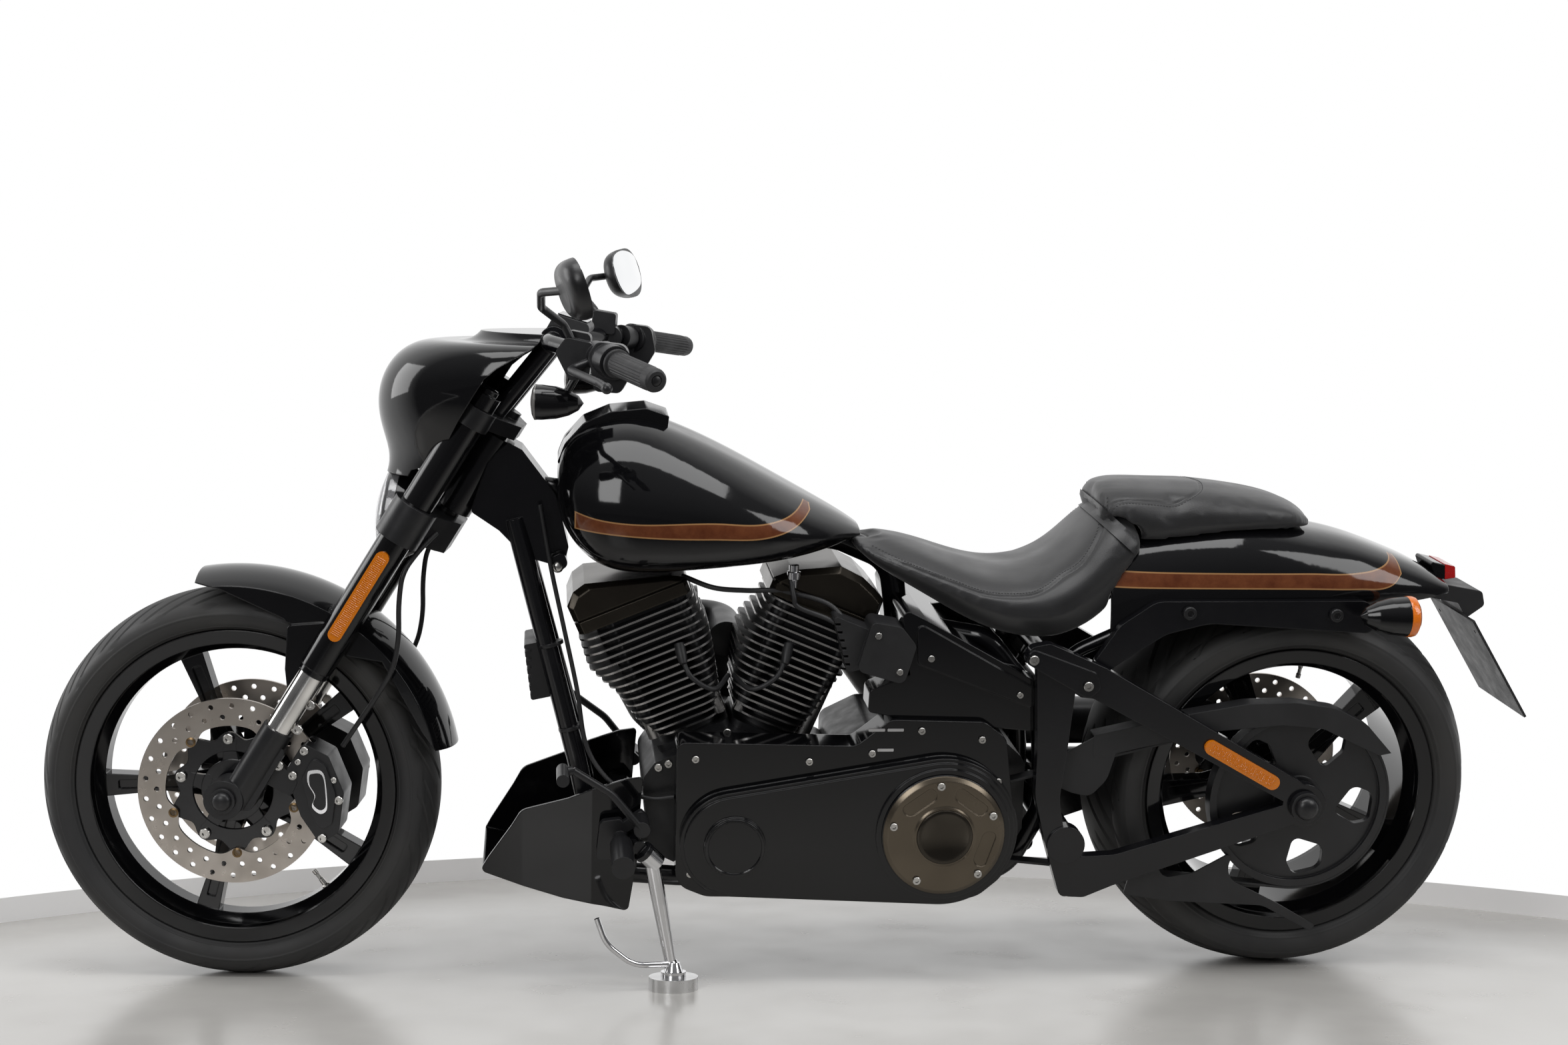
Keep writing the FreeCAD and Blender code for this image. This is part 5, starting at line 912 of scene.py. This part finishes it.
def pierced(outlines, y0, y1):
    """A plate whose first outline is its edge and whose other outlines are holes, as (x, z) points."""
    points, loops = [], []
    for ring in outlines:
        loops.append(list(range(len(points), len(points) + len(ring))))
        points += [Vector((p[0], p[1])) for p in ring]
    flat = delaunay_2d_cdt(points, [], loops, 5, 0.001)
    bm = bmesh.new()
    verts = [bm.verts.new((p.x, y0, p.y)) for p in flat[0]]
    thicken(bm, [bm.faces.new([verts[i] for i in face]) for face in flat[2]], y1 - y0)
    return mesh_of("pierced", bm)


def lobed(x, z, r, lobes, steps=150):
    """A closed outline round (x, z): radius r, and lobes as (height, phase, sharpness), five of each."""
    out = []
    for i in range(steps):
        a = 2 * math.pi * i / steps
        far = r + sum(high * (0.5 + 0.5 * math.cos(5 * (a - phase))) ** sharp for high, phase, sharp in lobes)
        out.append((x + far * math.cos(a), z + far * math.sin(a)))
    return out


HOLES_ROUND, HOLE_R, HALF_THICK = 26, 4.4, 2.5
BOBBIN = [(0, 0), (5.5, 0), (5.5, 4), (8, 4.6), (8, 6.4), (8, 13), (5, 14), (5, 12.5), (0, 12.5)]


def disc_parts(x, z, radius, side, y_mid, hub_face, phase):
    """The drilled ring, the carrier, the bobbins and the carrier bolts of one disc."""
    def at(r, a, y):
        return x + r * math.cos(a), y, z + r * math.sin(a)

    inner, at_bolts = radius - 44, math.radians(phase)
    at_bobbins = at_bolts + math.pi / 5
    holes = [lobed(x, z, inner, [(-13, at_bobbins, 6)])]
    for k in range(HOLES_ROUND):
        for row, r in enumerate((inner + 14, inner + 32)):
            a = 2 * math.pi * (k + 0.5 * row) / HOLES_ROUND
            holes.append(circle(x + r * math.cos(a), z + r * math.sin(a), HOLE_R, 10))
    y0, y1 = y_mid - side * HALF_THICK, y_mid + side * HALF_THICK
    ring = pierced([circle(x, z, radius, 120)] + holes, y0, y1)
    arms = [pierced([circle(x, z, 50, 48), circle(x, z, 27, 32)], side * hub_face, y0)]
    star = lobed(x, z, radius - 70, [(15, at_bolts, 3), (23, at_bobbins, 3)])
    arms.append(pierced([star, circle(x, z, radius - 86, 60)], y0 - side * 6, y0 - side * 0.2))
    bobbins, bolts = [], []
    for k in range(5):
        a = at_bolts + k * 2 * math.pi / 5
        way, across = Vector((math.cos(a), math.sin(a))), Vector((-math.sin(a), math.cos(a)))
        edge = [(36, 17), (52, 12), (70, 10), (radius - 68, 13)]
        outline = [Vector((x, z)) + way * r + across * w for r, w in edge + [(r, -w) for r, w in edge[::-1]]]
        arms.append(plate(rounded(outline, 7), y0 - side * 7, y0 - side * 0.6, 1.2))
        bobbins.append(lathe(BOBBIN, at(inner - 5, a + math.pi / 5, y0 - side * 7.5), (0, side, 0), 20))
        bolts.append((at(radius - 66, a, y0 - side * 0.4), (0, side, 0), 8.5))
    return [ring], arms, bobbins, bolts


print("disc helpers ready")

# %% [markdown]
# The front wheel has a disc on each side and the rear wheel has one on the right. A copy of the first
# disc could be scaled and turned for the others, but its screws would change their size with it. One
# function draws all three from their radius, their place on the axle and the turn of their lugs.
# %% Both front discs and the rear one
def lay_discs(end, plural, node, carrier, discs):
    """Lays the discs of one wheel; every kind of part becomes one piece."""
    rings, arms, bobbins, bolts = ([part for disc in discs for part in disc[kind]] for kind in range(4))
    ring = settle(end + "_disc_ring" + plural, joined("rings", rings), disc_steel, carrier, 30)
    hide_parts(node)
    settle(end + "_disc_carrier" + plural, joined("arms", arms), frame_paint, carrier, 30)
    settle(end + "_disc_bobbins", joined("bobbins", bobbins), bronze, carrier, 30)
    heads(end + "_disc_bolts", bolts, SCREW, bolt_steel, carrier=carrier)


lay_discs("front", "s", "front_discs", FRONT_WHEEL,
          [disc_parts(0, FRONT_R, 150, side, side * 73, 60, 22) for side in (-1, 1)])
lay_discs("rear", "", "rear_disc", REAR_WHEEL, [disc_parts(WHEELBASE, REAR_R, 146, 1, 95, 70, 90)])

# %% [markdown]
# ## The seats
# A seat is foam under a stretched leather cover, so it swells between its seams and pulls in at them.
# Sculpting that by hand is possible; a cloth simulation does it as the real cover does. The solid seat
# is copied a little smaller, given an even skin of small squares, and blown up gently. How far a point
# may travel is limited, so the pad fills the space of its solid and keeps off its neighbours.
# %% Leather
from mathutils.bvhtree import BVHTree

leather = finish("seat_leather", (0.011, 0.011, 0.012), 0.4, vary=0.06, grain=120,
                 bump=0.00012, bump_scale=520, sheen=0.15, spots=(0.019, 0.019, 0.02))
tree, shader, coords = opened(leather)
pebble = tree.nodes.new("ShaderNodeTexVoronoi")
pebble.feature = "DISTANCE_TO_EDGE"
sock(pebble, "Scale", 620.0)
feed(tree, pebble.inputs["Vector"], coords["Object"])
fine_bump = shader.inputs["Normal"].links[0].from_socket
feed(tree, shader.inputs["Normal"], bumped(tree, pebble.outputs["Distance"], 0.00022, 0.8, fine_bump))
print("leather grain ready")

# %% [markdown]
# The pad starts from the solid, taken in by a few millimetres. A voxel remesh gives it an even skin,
# which cloth needs: long thin triangles would crease along their edges. After the cloth has swollen,
# every point is kept within a short way of its start, longer on top than on the underside.
# %% Blow up a pad
SWELL_ABOVE, SWELL_BELOW = 2.5, -0.5


def blown_pad(name, node, shrink, voxel, frames=20):
    """The solid's form as a pad in upright millimetres, its skin swollen by cloth."""
    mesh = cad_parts[node].data.copy()
    bm = bmesh.new()
    bm.from_mesh(mesh)
    bmesh.ops.remove_doubles(bm, verts=bm.verts, dist=0.00002)
    bm.normal_update()
    for v in bm.verts:
        v.co -= v.normal * (shrink / 1000)
    bm.to_mesh(mesh)
    bm.free()
    obj = linked(name + "_start", mesh)
    skin = obj.modifiers.new("skin", "REMESH")
    skin.mode = "VOXEL"
    skin.voxel_size = voxel / 1000
    even = evaluated_mesh(obj)
    obj.modifiers.clear()
    obj.data = even
    start = [v.co.copy() for v in even.vertices]
    facing = [n.vector.copy() for n in even.vertex_normals]
    up = LAID.to_3x3() @ Vector((0, 0, 1))
    cloth = obj.modifiers.new("swell", "CLOTH")
    cloth.settings.use_pressure = True
    cloth.settings.uniform_pressure_force = 4
    cloth.settings.effector_weights.gravity = 0
    cloth.settings.quality = 4
    for frame_number in range(1, frames + 1):
        bpy.context.scene.frame_set(frame_number)
    swollen = evaluated_mesh(obj)
    far = 0.0
    for i, v in enumerate(swollen.vertices):
        push = v.co - start[i]
        cap = (shrink + (SWELL_ABOVE if facing[i].dot(up) > -0.2 else SWELL_BELOW)) / 1000
        if push.length > cap:
            push *= cap / push.length
        far = max(far, push.length)
        even.vertices[i].co = start[i] + push
    obj.modifiers.clear()
    bpy.context.scene.frame_set(1)
    print(name, "swelled by up to", round(far * 1000, 1), "mm")
    soft = obj.modifiers.new("soften", "SMOOTH")
    soft.factor = 0.5
    soft.iterations = 4
    fine = obj.modifiers.new("fine", "SUBSURF")
    fine.levels = fine.render_levels = 1
    out = evaluated_mesh(obj)
    bpy.data.objects.remove(obj)
    out.transform(ON_BIKE.inverted())
    return out


print("pads may swell by", SWELL_ABOVE, "mm above their solid")


# %% [markdown]
# ## Seams and thread
# A seam pulls the cover into a shallow valley, and a row of stitches runs beside it. A seam is drawn as
# a line in the side view, or in the top view for one that runs over the pad. The points near the line
# are pulled in, and the thread is found by casting rays at the pad from the side or from above.
# %% Seams and stitches
def seam_distance(a, b, line):
    """How far the point (a, b) lies from a polyline in a plane."""
    best = 1e9
    for (ax, az), (bx, bz) in zip(line, line[1:]):
        dx, dz = bx - ax, bz - az
        t = max(0.0, min(1.0, ((a - ax) * dx + (b - az) * dz) / (dx * dx + dz * dz)))
        best = min(best, math.hypot(a - ax - t * dx, b - az - t * dz))
    return best


def drawn(points, steps=6):
    return [(p.x, p.y) for p in smooth_line([(x, z, 0) for x, z in points], steps)]


def sew(mesh, side_seams=(), top_seams=(), depth=2.4, width=6.0):
    """Pulls the cover in along its seams: side seams are (x, z) lines, top seams are (x, y) lines."""
    mesh.update()
    normals = [n.vector.copy() for n in mesh.vertex_normals]
    for i, v in enumerate(mesh.vertices):
        near = 1e9
        if abs(normals[i].y) > 0.2 and abs(v.co.y) > 30:
            for line in side_seams:
                near = min(near, seam_distance(v.co.x, v.co.z, line))
        if normals[i].z > 0.15:
            for line in top_seams:
                near = min(near, seam_distance(v.co.x, abs(v.co.y), line))
        if near < width:
            v.co -= normals[i] * depth * (1 - near / width) ** 2


def stitches(name, tree, side_seams=(), top_seams=(), pitch=5.0, offset=4.0):
    """Thread along one side of each seam, set on the pad by casting rays at it."""
    spots = []
    for line, flat in [(seam, False) for seam in side_seams] + [(seam, True) for seam in top_seams]:
        run = [Vector((a, b, 0)) if flat else Vector((a, 0, b)) for a, b in line]
        gone = 0.0
        for a, b in zip(run, run[1:]):
            way, length = (b - a).normalized(), (b - a).length
            across = (Vector((-way.y, way.x, 0)) if flat else Vector((-way.z, 0, way.x))) * offset
            while gone < length:
                at = a + way * gone + across
                gone += pitch
                for side in (-1, 1):
                    start, down, aim = Vector((at.x, side * 400, at.z)), Vector((0, -side, 0)), way
                    if flat:
                        start, down = Vector((at.x, at.y * side, 1200)), Vector((0, 0, -1))
                        aim = Vector((way.x, way.y * side, 0))
                    hit, normal = tree.ray_cast(start, down)[:2]
                    if hit is not None:
                        spots.append((hit + normal * 0.15, aim - normal * aim.dot(normal), 1.0))
            gone -= length
    heads(name, spots, THREAD, thread_black)


thread_black = finish("seat_thread", (0.02, 0.02, 0.021), 0.6, grain=400)
THREAD = head_object("thread", lathe([(0, -1.7), (0.45, -1.4), (0.55, 0), (0.45, 1.4), (0, 1.7)], steps=6), 60)
print("thread faces:", len(THREAD.data.polygons))

# %% [markdown]
# Both seats are made in the same way: blown up, sewn, laid in place and stitched. The seams' points were
# read from the side and from above. What the rays need later is kept as a search tree of each pad,
# because a ray finds its face there much faster than by trying them all.
# %% Both seats
RIDER_SIDE = [drawn([(1004, 722), (1060, 702), (1120, 682), (1180, 664), (1240, 662), (1275, 672), (1304, 690),
                     (1336, 712), (1366, 752), (1384, 782)])]
PILLION_TOP = [drawn([(1384, 84), (1440, 92), (1500, 88), (1532, 66), (1545, 30), (1547, 0)])]
PILLION_SIDE = [drawn([(1378, 810), (1374, 786), (1378, 764)])]
seat_trees = {}
for name, node, side_seams, top_seams in (("rider_pad", "rider_seat", RIDER_SIDE, ()),
                                          ("pillion_pad", "pillion_seat", PILLION_SIDE, PILLION_TOP)):
    pad = blown_pad(name, node, 3.0, 6.0)
    sew(pad, side_seams, top_seams)
    bm = bmesh.new()
    bm.from_mesh(pad)
    seat_trees[name] = BVHTree.FromBMesh(bm)
    bm.free()
    seat = settle(name, pad, leather, sharp=60, flip_check=False)
    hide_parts(node)
    stitches(name + "_stitches", seat_trees[name], side_seams, top_seams)
    print(name, "faces:", len(pad.polygons))

# %% [markdown]
# ## The strap between the seats
# A leather strap crosses the step between the two pads, for the passenger to hold. It could be a bent
# curve, but it would float or sink in places. It lies in one slanted plane, so rays are cast inwards in
# that plane from all round, and a flat band is laid over the places where they meet the pads.
# %% Strap
STRAP_FOOT, STRAP_TOP = Vector((1438, 0, 726)), Vector((1352, 0, 800))
STRAP_THICK = 3.2
STRAP_TURN, STRAP_STEPS, FROM_OUTSIDE = 112, 60, 320


def strap():
    way = (STRAP_TOP - STRAP_FOOT).normalized()
    across = Vector((-way.z, 0, way.x))
    middle = STRAP_FOOT + way * 24
    rows = []
    for k in range(STRAP_STEPS + 1):
        turn = math.radians(-STRAP_TURN + 2 * STRAP_TURN * k / STRAP_STEPS)
        out = way * math.cos(turn) + Vector((0, 1, 0)) * math.sin(turn)
        row = []
        for off in (-11, -4, 4, 11):
            origin = middle + out * FROM_OUTSIDE + across * off
            hits = [t.ray_cast(origin, -out) for t in seat_trees.values()]
            hits = [h for h in hits if h[0] is not None]
            if hits:
                best = min(hits, key=lambda h: h[3])
                row.append(best[0] + out * 1.4)
        if len(row) == 4:
            rows.append(row)
    smooth = []
    for i in range(len(rows)):
        near = rows[max(0, i - 1):i + 2]
        smooth.append([sum((r[k] for r in near), Vector()) / len(near) for k in range(4)])
    outs = [(sum(row, Vector()) / 4 - middle).normalized() for row in smooth]
    verts = [p for row in smooth for p in row]
    verts += [p + out * STRAP_THICK for row, out in zip(smooth, outs) for p in row]
    n = len(smooth)
    top = 4 * n
    faces = []
    for a in range(0, top - 4, 4):
        for k in range(a, a + 3):
            faces.append((k, k + 4, k + 5, k + 1))
            faces.append((k + top, k + 1 + top, k + 5 + top, k + 4 + top))
        for k in (a, a + 3):
            faces.append((k, k + 4, k + 4 + top, k + top))
    for a in (0, top - 4):
        faces += [(k, k + 1, k + 1 + top, k + top) for k in range(a, a + 3)]
    return raw_mesh("strap", verts, faces), n


strap_mesh, strap_rows = strap()
settle("seat_strap", strap_mesh, leather, sharp=50)
print("strap rows:", strap_rows)

# %% [markdown]
# ## Lamps, mirrors and the dial
# The frame has the lamps' bodies; the lenses go over their ends. Each lens is turned on the lathe like
# the body under it, a fraction of a millimetre larger, so that it sits on the body as a real one does.
# %% Lenses
SIDES = ((-1, "left"), (1, "right"))
LAMP_TILT = math.radians(6)
for side, label in SIDES:
    rear = lathe([(0, 0), (32.4, 0), (32.9, 2), (32.9, 8), (31.4, 13), (24.8, 17.6), (12, 20.4), (0, 21)],
                 (1843, side * 200, 647), (1, 0, 0), 40)
    settle("rear_lens_" + label, rear, amber)
    front = lathe([(0, 0), (26.4, 0), (26.5, 2.6), (19.8, 6.0), (9.4, 8.0), (0, 8.6)],
                  (495.4, side * 236, 964), (-1, 0, 0), 36)
    settle("front_lens_" + label, front, smoke_lens, FORK)
tail = plate([(1972, 695.2), (1991, 691), (1993.4, 671.6), (1974, 668.6)], -34.6, 34.6, 1.0)
settle("tail_lens", tail, red_lens)
lamp_at, lamp_way = (222, 0, 764), (math.cos(LAMP_TILT), 0, -math.sin(LAMP_TILT))
dish = lathe([(0, -0.5), (20, 0.2), (40, 2.3), (56, 6.2), (68, 10.6), (66, 12.5), (0, 6)],
             lamp_at, lamp_way, 64)
settle("headlamp_dish", dish, chrome, FORK)
glass = lathe([(0, -4), (40, -1), (70, 8.5), (76.6, 15), (77.4, 19), (77.4, 30), (76.2, 30), (76.2, 19.5),
               (69, 10.6), (40, 1.2), (0, -2)], lamp_at, lamp_way, 64)
settle("headlamp_glass", glass, clear_lens, FORK)
print("lenses on four signals, the tail lamp and the headlamp")

# %% [markdown]
# ## Mirror glass and the dial
# The mirrors aren't round, so the lathe can't make their glass. A closed smooth line through eight
# points gives the outline, and three rings of it, the last a little smaller, make a thin pane with a
# ground edge. A flat image of a mirror would be enough from afar, but this one really mirrors the room.
# %% Mirror glass and the dial
def closed_line(points, steps=6):
    n = len(points)
    ring = [points[-1]] + list(points) + [points[0], points[1]]
    return smooth_line([(a, b, 0) for a, b in ring], steps)[steps:steps * (n + 1)]


MIRROR_EDGE = ((-68, 2), (-50, 32), (5, 44), (56, 38), (70, 20), (56, -22), (-28, -42), (-60, -30))
outline = closed_line(MIRROR_EDGE)
n = len(outline)
for side, label in SIDES:
    verts = [(depth, side * p.x * grow, p.y * grow)
             for depth, grow in ((5.6, 0.93), (6.6, 0.93), (6.9, 0.905)) for p in outline]
    pane = raw_mesh("glass", verts, bands(3, n) + [list(range(2 * n, 3 * n)), list(range(n))[::-1]])
    held = (ON_FORK @ Matrix.Translation((571, side * 430, 1137))
            @ Matrix.Rotation(math.radians(-15 * side), 4, "Z") @ Matrix.Rotation(math.radians(-20), 4, "Y"))
    settle("mirror_glass_" + label, pane, mirror_glass, (held, "front_fork"))
dial_glass = finish("dial_glass", (0.004, 0.005, 0.006), 0.04, vary=0.01, grain=60)
dial = plate([(504, 1085.4), (550, 1072.2), (550.6, 1073.4), (504.6, 1086.8)], -38, 38, 0.3)
settle("dial_glass", dial, dial_glass, FORK)
print("mirror outline points:", n)

# %% [markdown]
# ## Grips
# The rubber grips have long flutes. A bump could fake them, but a grip is seen against the light, where
# its outline shows. The round section is drawn with a radius that rises and falls as it goes round.
# %% Fluted grips
GRIP_STEPS = 96


def fluted_grip(side):
    """One grip as rings of (height, radius, whether it is fluted), and its end cap."""
    a, b = Vector((679, side * 411, 1014)), Vector((611, side * 292, 1030))
    along = (a - b).normalized()
    m = axis_frame(b + along * 12, along)
    length = (a + along * 2 - b - along * 12).length
    rows = [(0.1, 13.2, 0), (0.1, 20.6, 0), (1, 21.2, 0), (5, 21.2, 0), (6, 20.4, 0), (7, 17.4, 0),
            (12, 17.2, 0), (14, 17.4, 1)]
    rows += [(length + past, r, fluted) for past, r, fluted in (
        (-16, 17.4, 1), (-14, 17.2, 0), (-1, 17.4, 0), (3, 16.4, 0), (6.2, 13.4, 0), (6.4, 8.5, 0),
        (4.6, 7.4, 0), (4.4, 0.01, 0))]
    verts = []
    for h, r, fluted in rows:
        for i in range(GRIP_STEPS):
            t = 2 * math.pi * i / GRIP_STEPS
            lift = fluted * (0.5 if i % 4 in (0, 1) else -0.8)
            verts.append(m @ Vector(((r + lift) * math.cos(t), (r + lift) * math.sin(t), h)))
    end = list(range(len(verts) - GRIP_STEPS, len(verts)))
    cap = lathe([(0, 0), (7.2, 0), (7.2, 1.2), (4.5, 2.6), (0, 3)], m @ Vector((0, 0, length + 4.2)), along, 24)
    return raw_mesh("grip", verts, bands(len(rows), GRIP_STEPS) + [end]), cap


grips, caps = zip(*(fluted_grip(side) for side in (-1, 1)))
rubber = settle("grip_rubber", joined("grips", grips), grip_rubber, FORK, sharp=28)
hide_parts("grips")
settle("grip_caps", joined("caps", caps), satin_black, FORK)
print("fluted grips:", len(rubber.data.polygons), "faces")

# %% [markdown]
# ## Screws
# The photograph shows bright screws on the black covers, and each one helps the eye to read its size.
# Every spot below was measured on the machine: its place, the way it faces and its radius. The tree
# made above then sets a head on each.
# %% Screws on covers and brackets
DERBY_X, DERBY_Z = 1115, 287
derby_turns = [math.radians(a) for a in (96, 24, -48, -120, 168)]
derby = [(DERBY_X + 84 * math.cos(a), DERBY_Z + 84 * math.sin(a)) for a in derby_turns]
primary = [(1078, 450), (1176, 435), (1205, 365), (1000, 413), (1175, 182), (1051, 176), (715, 215), (850, 190),
           (950, 182), (720, 405), (900, 400)]


def on_sides(points, y, r, sides=(-1, 1)):
    """Spots at (x, z) points so far out, facing outwards."""
    return [((x, side * y, z), (0, side, 0), r) for side in sides for x, z in points]


for name, points, y, r in (
        ("derby_screws", derby, 204.6, 6.5),
        ("primary_screws", primary, 166, 6),
        ("engine_screws", [(681, 378), (665, 372), (774, 430), (874, 374), (999, 395)], 105, 6.5),
        ("side_box_screws", [(1236, 506), (1090, 566)], 156, 5.5),
        ("coil_box_screws", [(1004, 604), (1040, 545)], 160, 5.5)):
    heads(name, on_sides(points, y, r, [-1]), SCREW, bolt_steel)
heads("tank_screws", on_sides([(503, 687)], 50, 9), DOME, bolt_steel)
heads("strut_bolts", on_sides([(1505, 640), (1747, 637)], 151, 11), SCREW, satin_black)
heads("swingarm_bolts", on_sides([(1249, 571), (1339, 528)], 183, 8), SCREW, bolt_steel)
fender_bolts = (on_sides([(112, 430), (82, 372), (132, 470)], 108, 8)
                + on_sides([(116, 512), (146, 545)], 80.7, 7))
heads("fender_bolts", fender_bolts, SCREW, bolt_steel, carrier=FORK)
heads("axle_ends", on_sides([(0, FRONT_R)], 139, 15), DOME, satin_black, FORK)
heads("rear_axle_ends", on_sides([(WHEELBASE, REAR_R)], 191, 19), DOME, satin_black)

# %% [markdown]
# ## The engine's left side
# The clutch cover has a darker centre inside its bronze ring, the crank boss a raised lip, and a bundle
# of wires and plug leads runs between the cylinders. Leads are plain round bars along smooth lines.
# %% Covers and leads
LEFT = (0, -1, 0)
centre = lathe([(0, 0), (44, 0), (45, 1.2), (43, 2.4), (39, 2.8), (37, 1.6), (0, 1.2)],
               (DERBY_X, -207.0, DERBY_Z), LEFT, 64)
settle("derby_centre", centre, smoked)
rim = lathe([(99.4, -3), (99.4, 1.5), (96.5, 3.4), (94, 3.6), (94, -3)],
            (DERBY_X, -197.0, DERBY_Z), LEFT, 96, closed=True)
settle("derby_rim", rim, lacquer)
boss = lathe([(47, -1), (47, 1.6), (44, 2.2), (42, 0.6), (42, -1)],
             (CRANK_X, -196.0, CRANK_Z), LEFT, 72, closed=True)
settle("crank_ring", boss, lacquer)
leads = [swept(smooth_line(points), 4.2) for points in (
    [(700, -88, 548), (716, -102, 520), (752, -100, 500), (778, -60, 512)],
    [(868, -88, 552), (850, -104, 520), (812, -100, 500), (786, -60, 512)],
    [(700, -60, 676), (748, -90, 664), (800, -92, 660), (858, -80, 656), (930, -96, 640), (962, -120, 610)],
    [(872, -86, 676), (876, -96, 650), (884, -98, 634), (930, -110, 618), (966, -128, 600)])]
settle("plug_leads", joined("leads", leads), moulded)
BOOT = [(0, -20), (8.5, -20), (9, -6), (8, 4), (6, 14), (0, 16)]
boots = [lathe(BOOT, (x, -88, 552), (lean, -0.5, -0.84), 20) for x, lean in ((700, 0.2), (868, -0.2))]
settle("plug_boots", joined("boots", boots), moulded)
fitting = lathe([(0, 0), (8, 0), (8, 10), (11, 11), (11, 22), (7, 24), (7, 36), (0, 36)],
                (876, -84, 700), (0, 0, -1), 20)
settle("tank_fitting", fitting, chrome)
clutch_line = smooth_line([(474, -52, 788), (492, -62, 690), (512, -76, 600), (534, -86, 500), (552, -92, 400),
                           (596, -116, 345), (650, -122, 326), (690, -128, 330)])
settle("clutch_cable", swept(clutch_line, 3.6), moulded)
ties = [lathe([(0, -3), (20, -3), (20.5, 0), (20, 3), (0, 3)], p, (0.25, -0.09, -0.96), 28)
        for p in ((526, -58.5, 425), (493, -45.5, 560))]
settle("tube_clips", joined("clips", ties), satin_black)
print("leads, boots, cable and clips")

# %% [markdown]
# ## Calipers, valves and small metal
# The front calipers carry a bright kidney-shaped line on their outer face and bolts where their halves
# meet. A tyre valve stands in each rim. These are small, but a wheel without a valve looks unfinished.
# The line is a pierced plate whose hole is the same outline drawn smaller; a swept wire would be round.
# %% Small metal
KIDNEY = [(-13, 33), (3, 33), (10, 18), (13, -21), (10, -33), (0, -36), (-11, -25), (-7, -8), (-17, 11),
          (-18, 28)]
KIDNEY_X, KIDNEY_Z = 146, 333
VALVE = [(0, 0), (7, 0), (7, 3), (4.5, 5), (4.0, 16), (3.2, 17), (3.2, 26), (4.2, 27), (4.2, 34), (0, 35)]


def bean(grow):
    line = closed_line([(x * grow, z * grow) for x, z in KIDNEY], 5)
    return [(KIDNEY_X + p.x, KIDNEY_Z + p.y) for p in line]


def valve(centre, r, angle_deg, y):
    """A tyre valve that points at the axle from so far out."""
    a = math.radians(angle_deg)
    out = Vector((math.cos(a), 0, math.sin(a)))
    return lathe(VALVE, centre + out * r + Vector((0, y, 0)), -out, 16)


lines = [pierced([bean(1.0), bean(0.84)], side * 112.6, side * 114.0) for side in (-1, 1)]
settle("caliper_lines", joined("ovals", lines), chrome, FORK)
caliper_bolts = (on_sides([(104, 356), (122, 396), (176, 318), (150, 256)], 107.6, 7)
                 + on_sides([(112, 378), (168, 350)], 107.6, 5))
heads("caliper_bolts", caliper_bolts, SCREW, bolt_steel, carrier=FORK)
settle("front_valve", valve(FRONT_AXLE, 220, -52, -8), bolt_steel, FRONT_WHEEL)
settle("rear_valve", valve(REAR_AXLE, 207, 80, -20), bolt_steel, REAR_WHEEL)
bars = [plate([(x - 13, z - 2.5), (x + 13, z - 2.5), (x + 13, z + 2.5), (x - 13, z + 2.5)], -168.6, -166, 0.6)
        for x, z in ((1006, 452), (1036, 452), (1021, 419))]
settle("bright_bars", joined("bars", bars), chrome)
print("calipers, valves and bars")

# %% [markdown]
# ## Ribbed reflectors
# The amber strips are full of small prisms under a smooth face with a rim. A row of fine three-sided
# ribs along each strip breaks up the light in the same way.
# %% Reflector ribs
def rib_row(name, a, b, y, carrier, count, half=7.0):
    """Cross ribs from a to b, both (x, z), on the outer faces at plus and minus y."""
    foot = Vector((a[0], 0, a[1]))
    along = Vector((b[0], 0, b[1])) - foot
    way = along.normalized()
    across = Vector((-way.z, 0, way.x))
    ribs = []
    for side in (-1, 1):
        for k in range(count):
            base = []
            for da, dy in ((-1.2, -0.4), (0, 0.9), (1.2, -0.4)):
                for s in (-1, 1):
                    q = foot + along * (k / (count - 1)) + way * da + across * (s * half)
                    base.append((q.x, side * (y + dy), q.z))
            ribs.append(raw_mesh("rib", base, [(0, 1, 3, 2), (2, 3, 5, 4), (4, 5, 1, 0), (0, 2, 4), (1, 5, 3)]))
    settle(name, joined(name, ribs), amber_reflex, carrier, sharp=20)


low, high = fork_point(322, 13), fork_point(462, 13)
rib_row("fork_reflector_ribs", (low.x, low.z), (high.x, high.z), 140.3, FORK, 46)
rib_row("swingarm_reflector_ribs", (1548, 425), (1652, 366), 185.0, CHASSIS, 40)
print("reflector ribs set")

# %% [markdown]
# ## Clearing up
# The heads that the tree copied are patterns and no part of the machine. They could be hidden, but
# whatever stays in the file may be counted or exported with the rest, so they are removed.
# %% Put the pattern heads away
for pattern in (SCREW, DOME, THREAD):
    bpy.data.objects.remove(pattern)
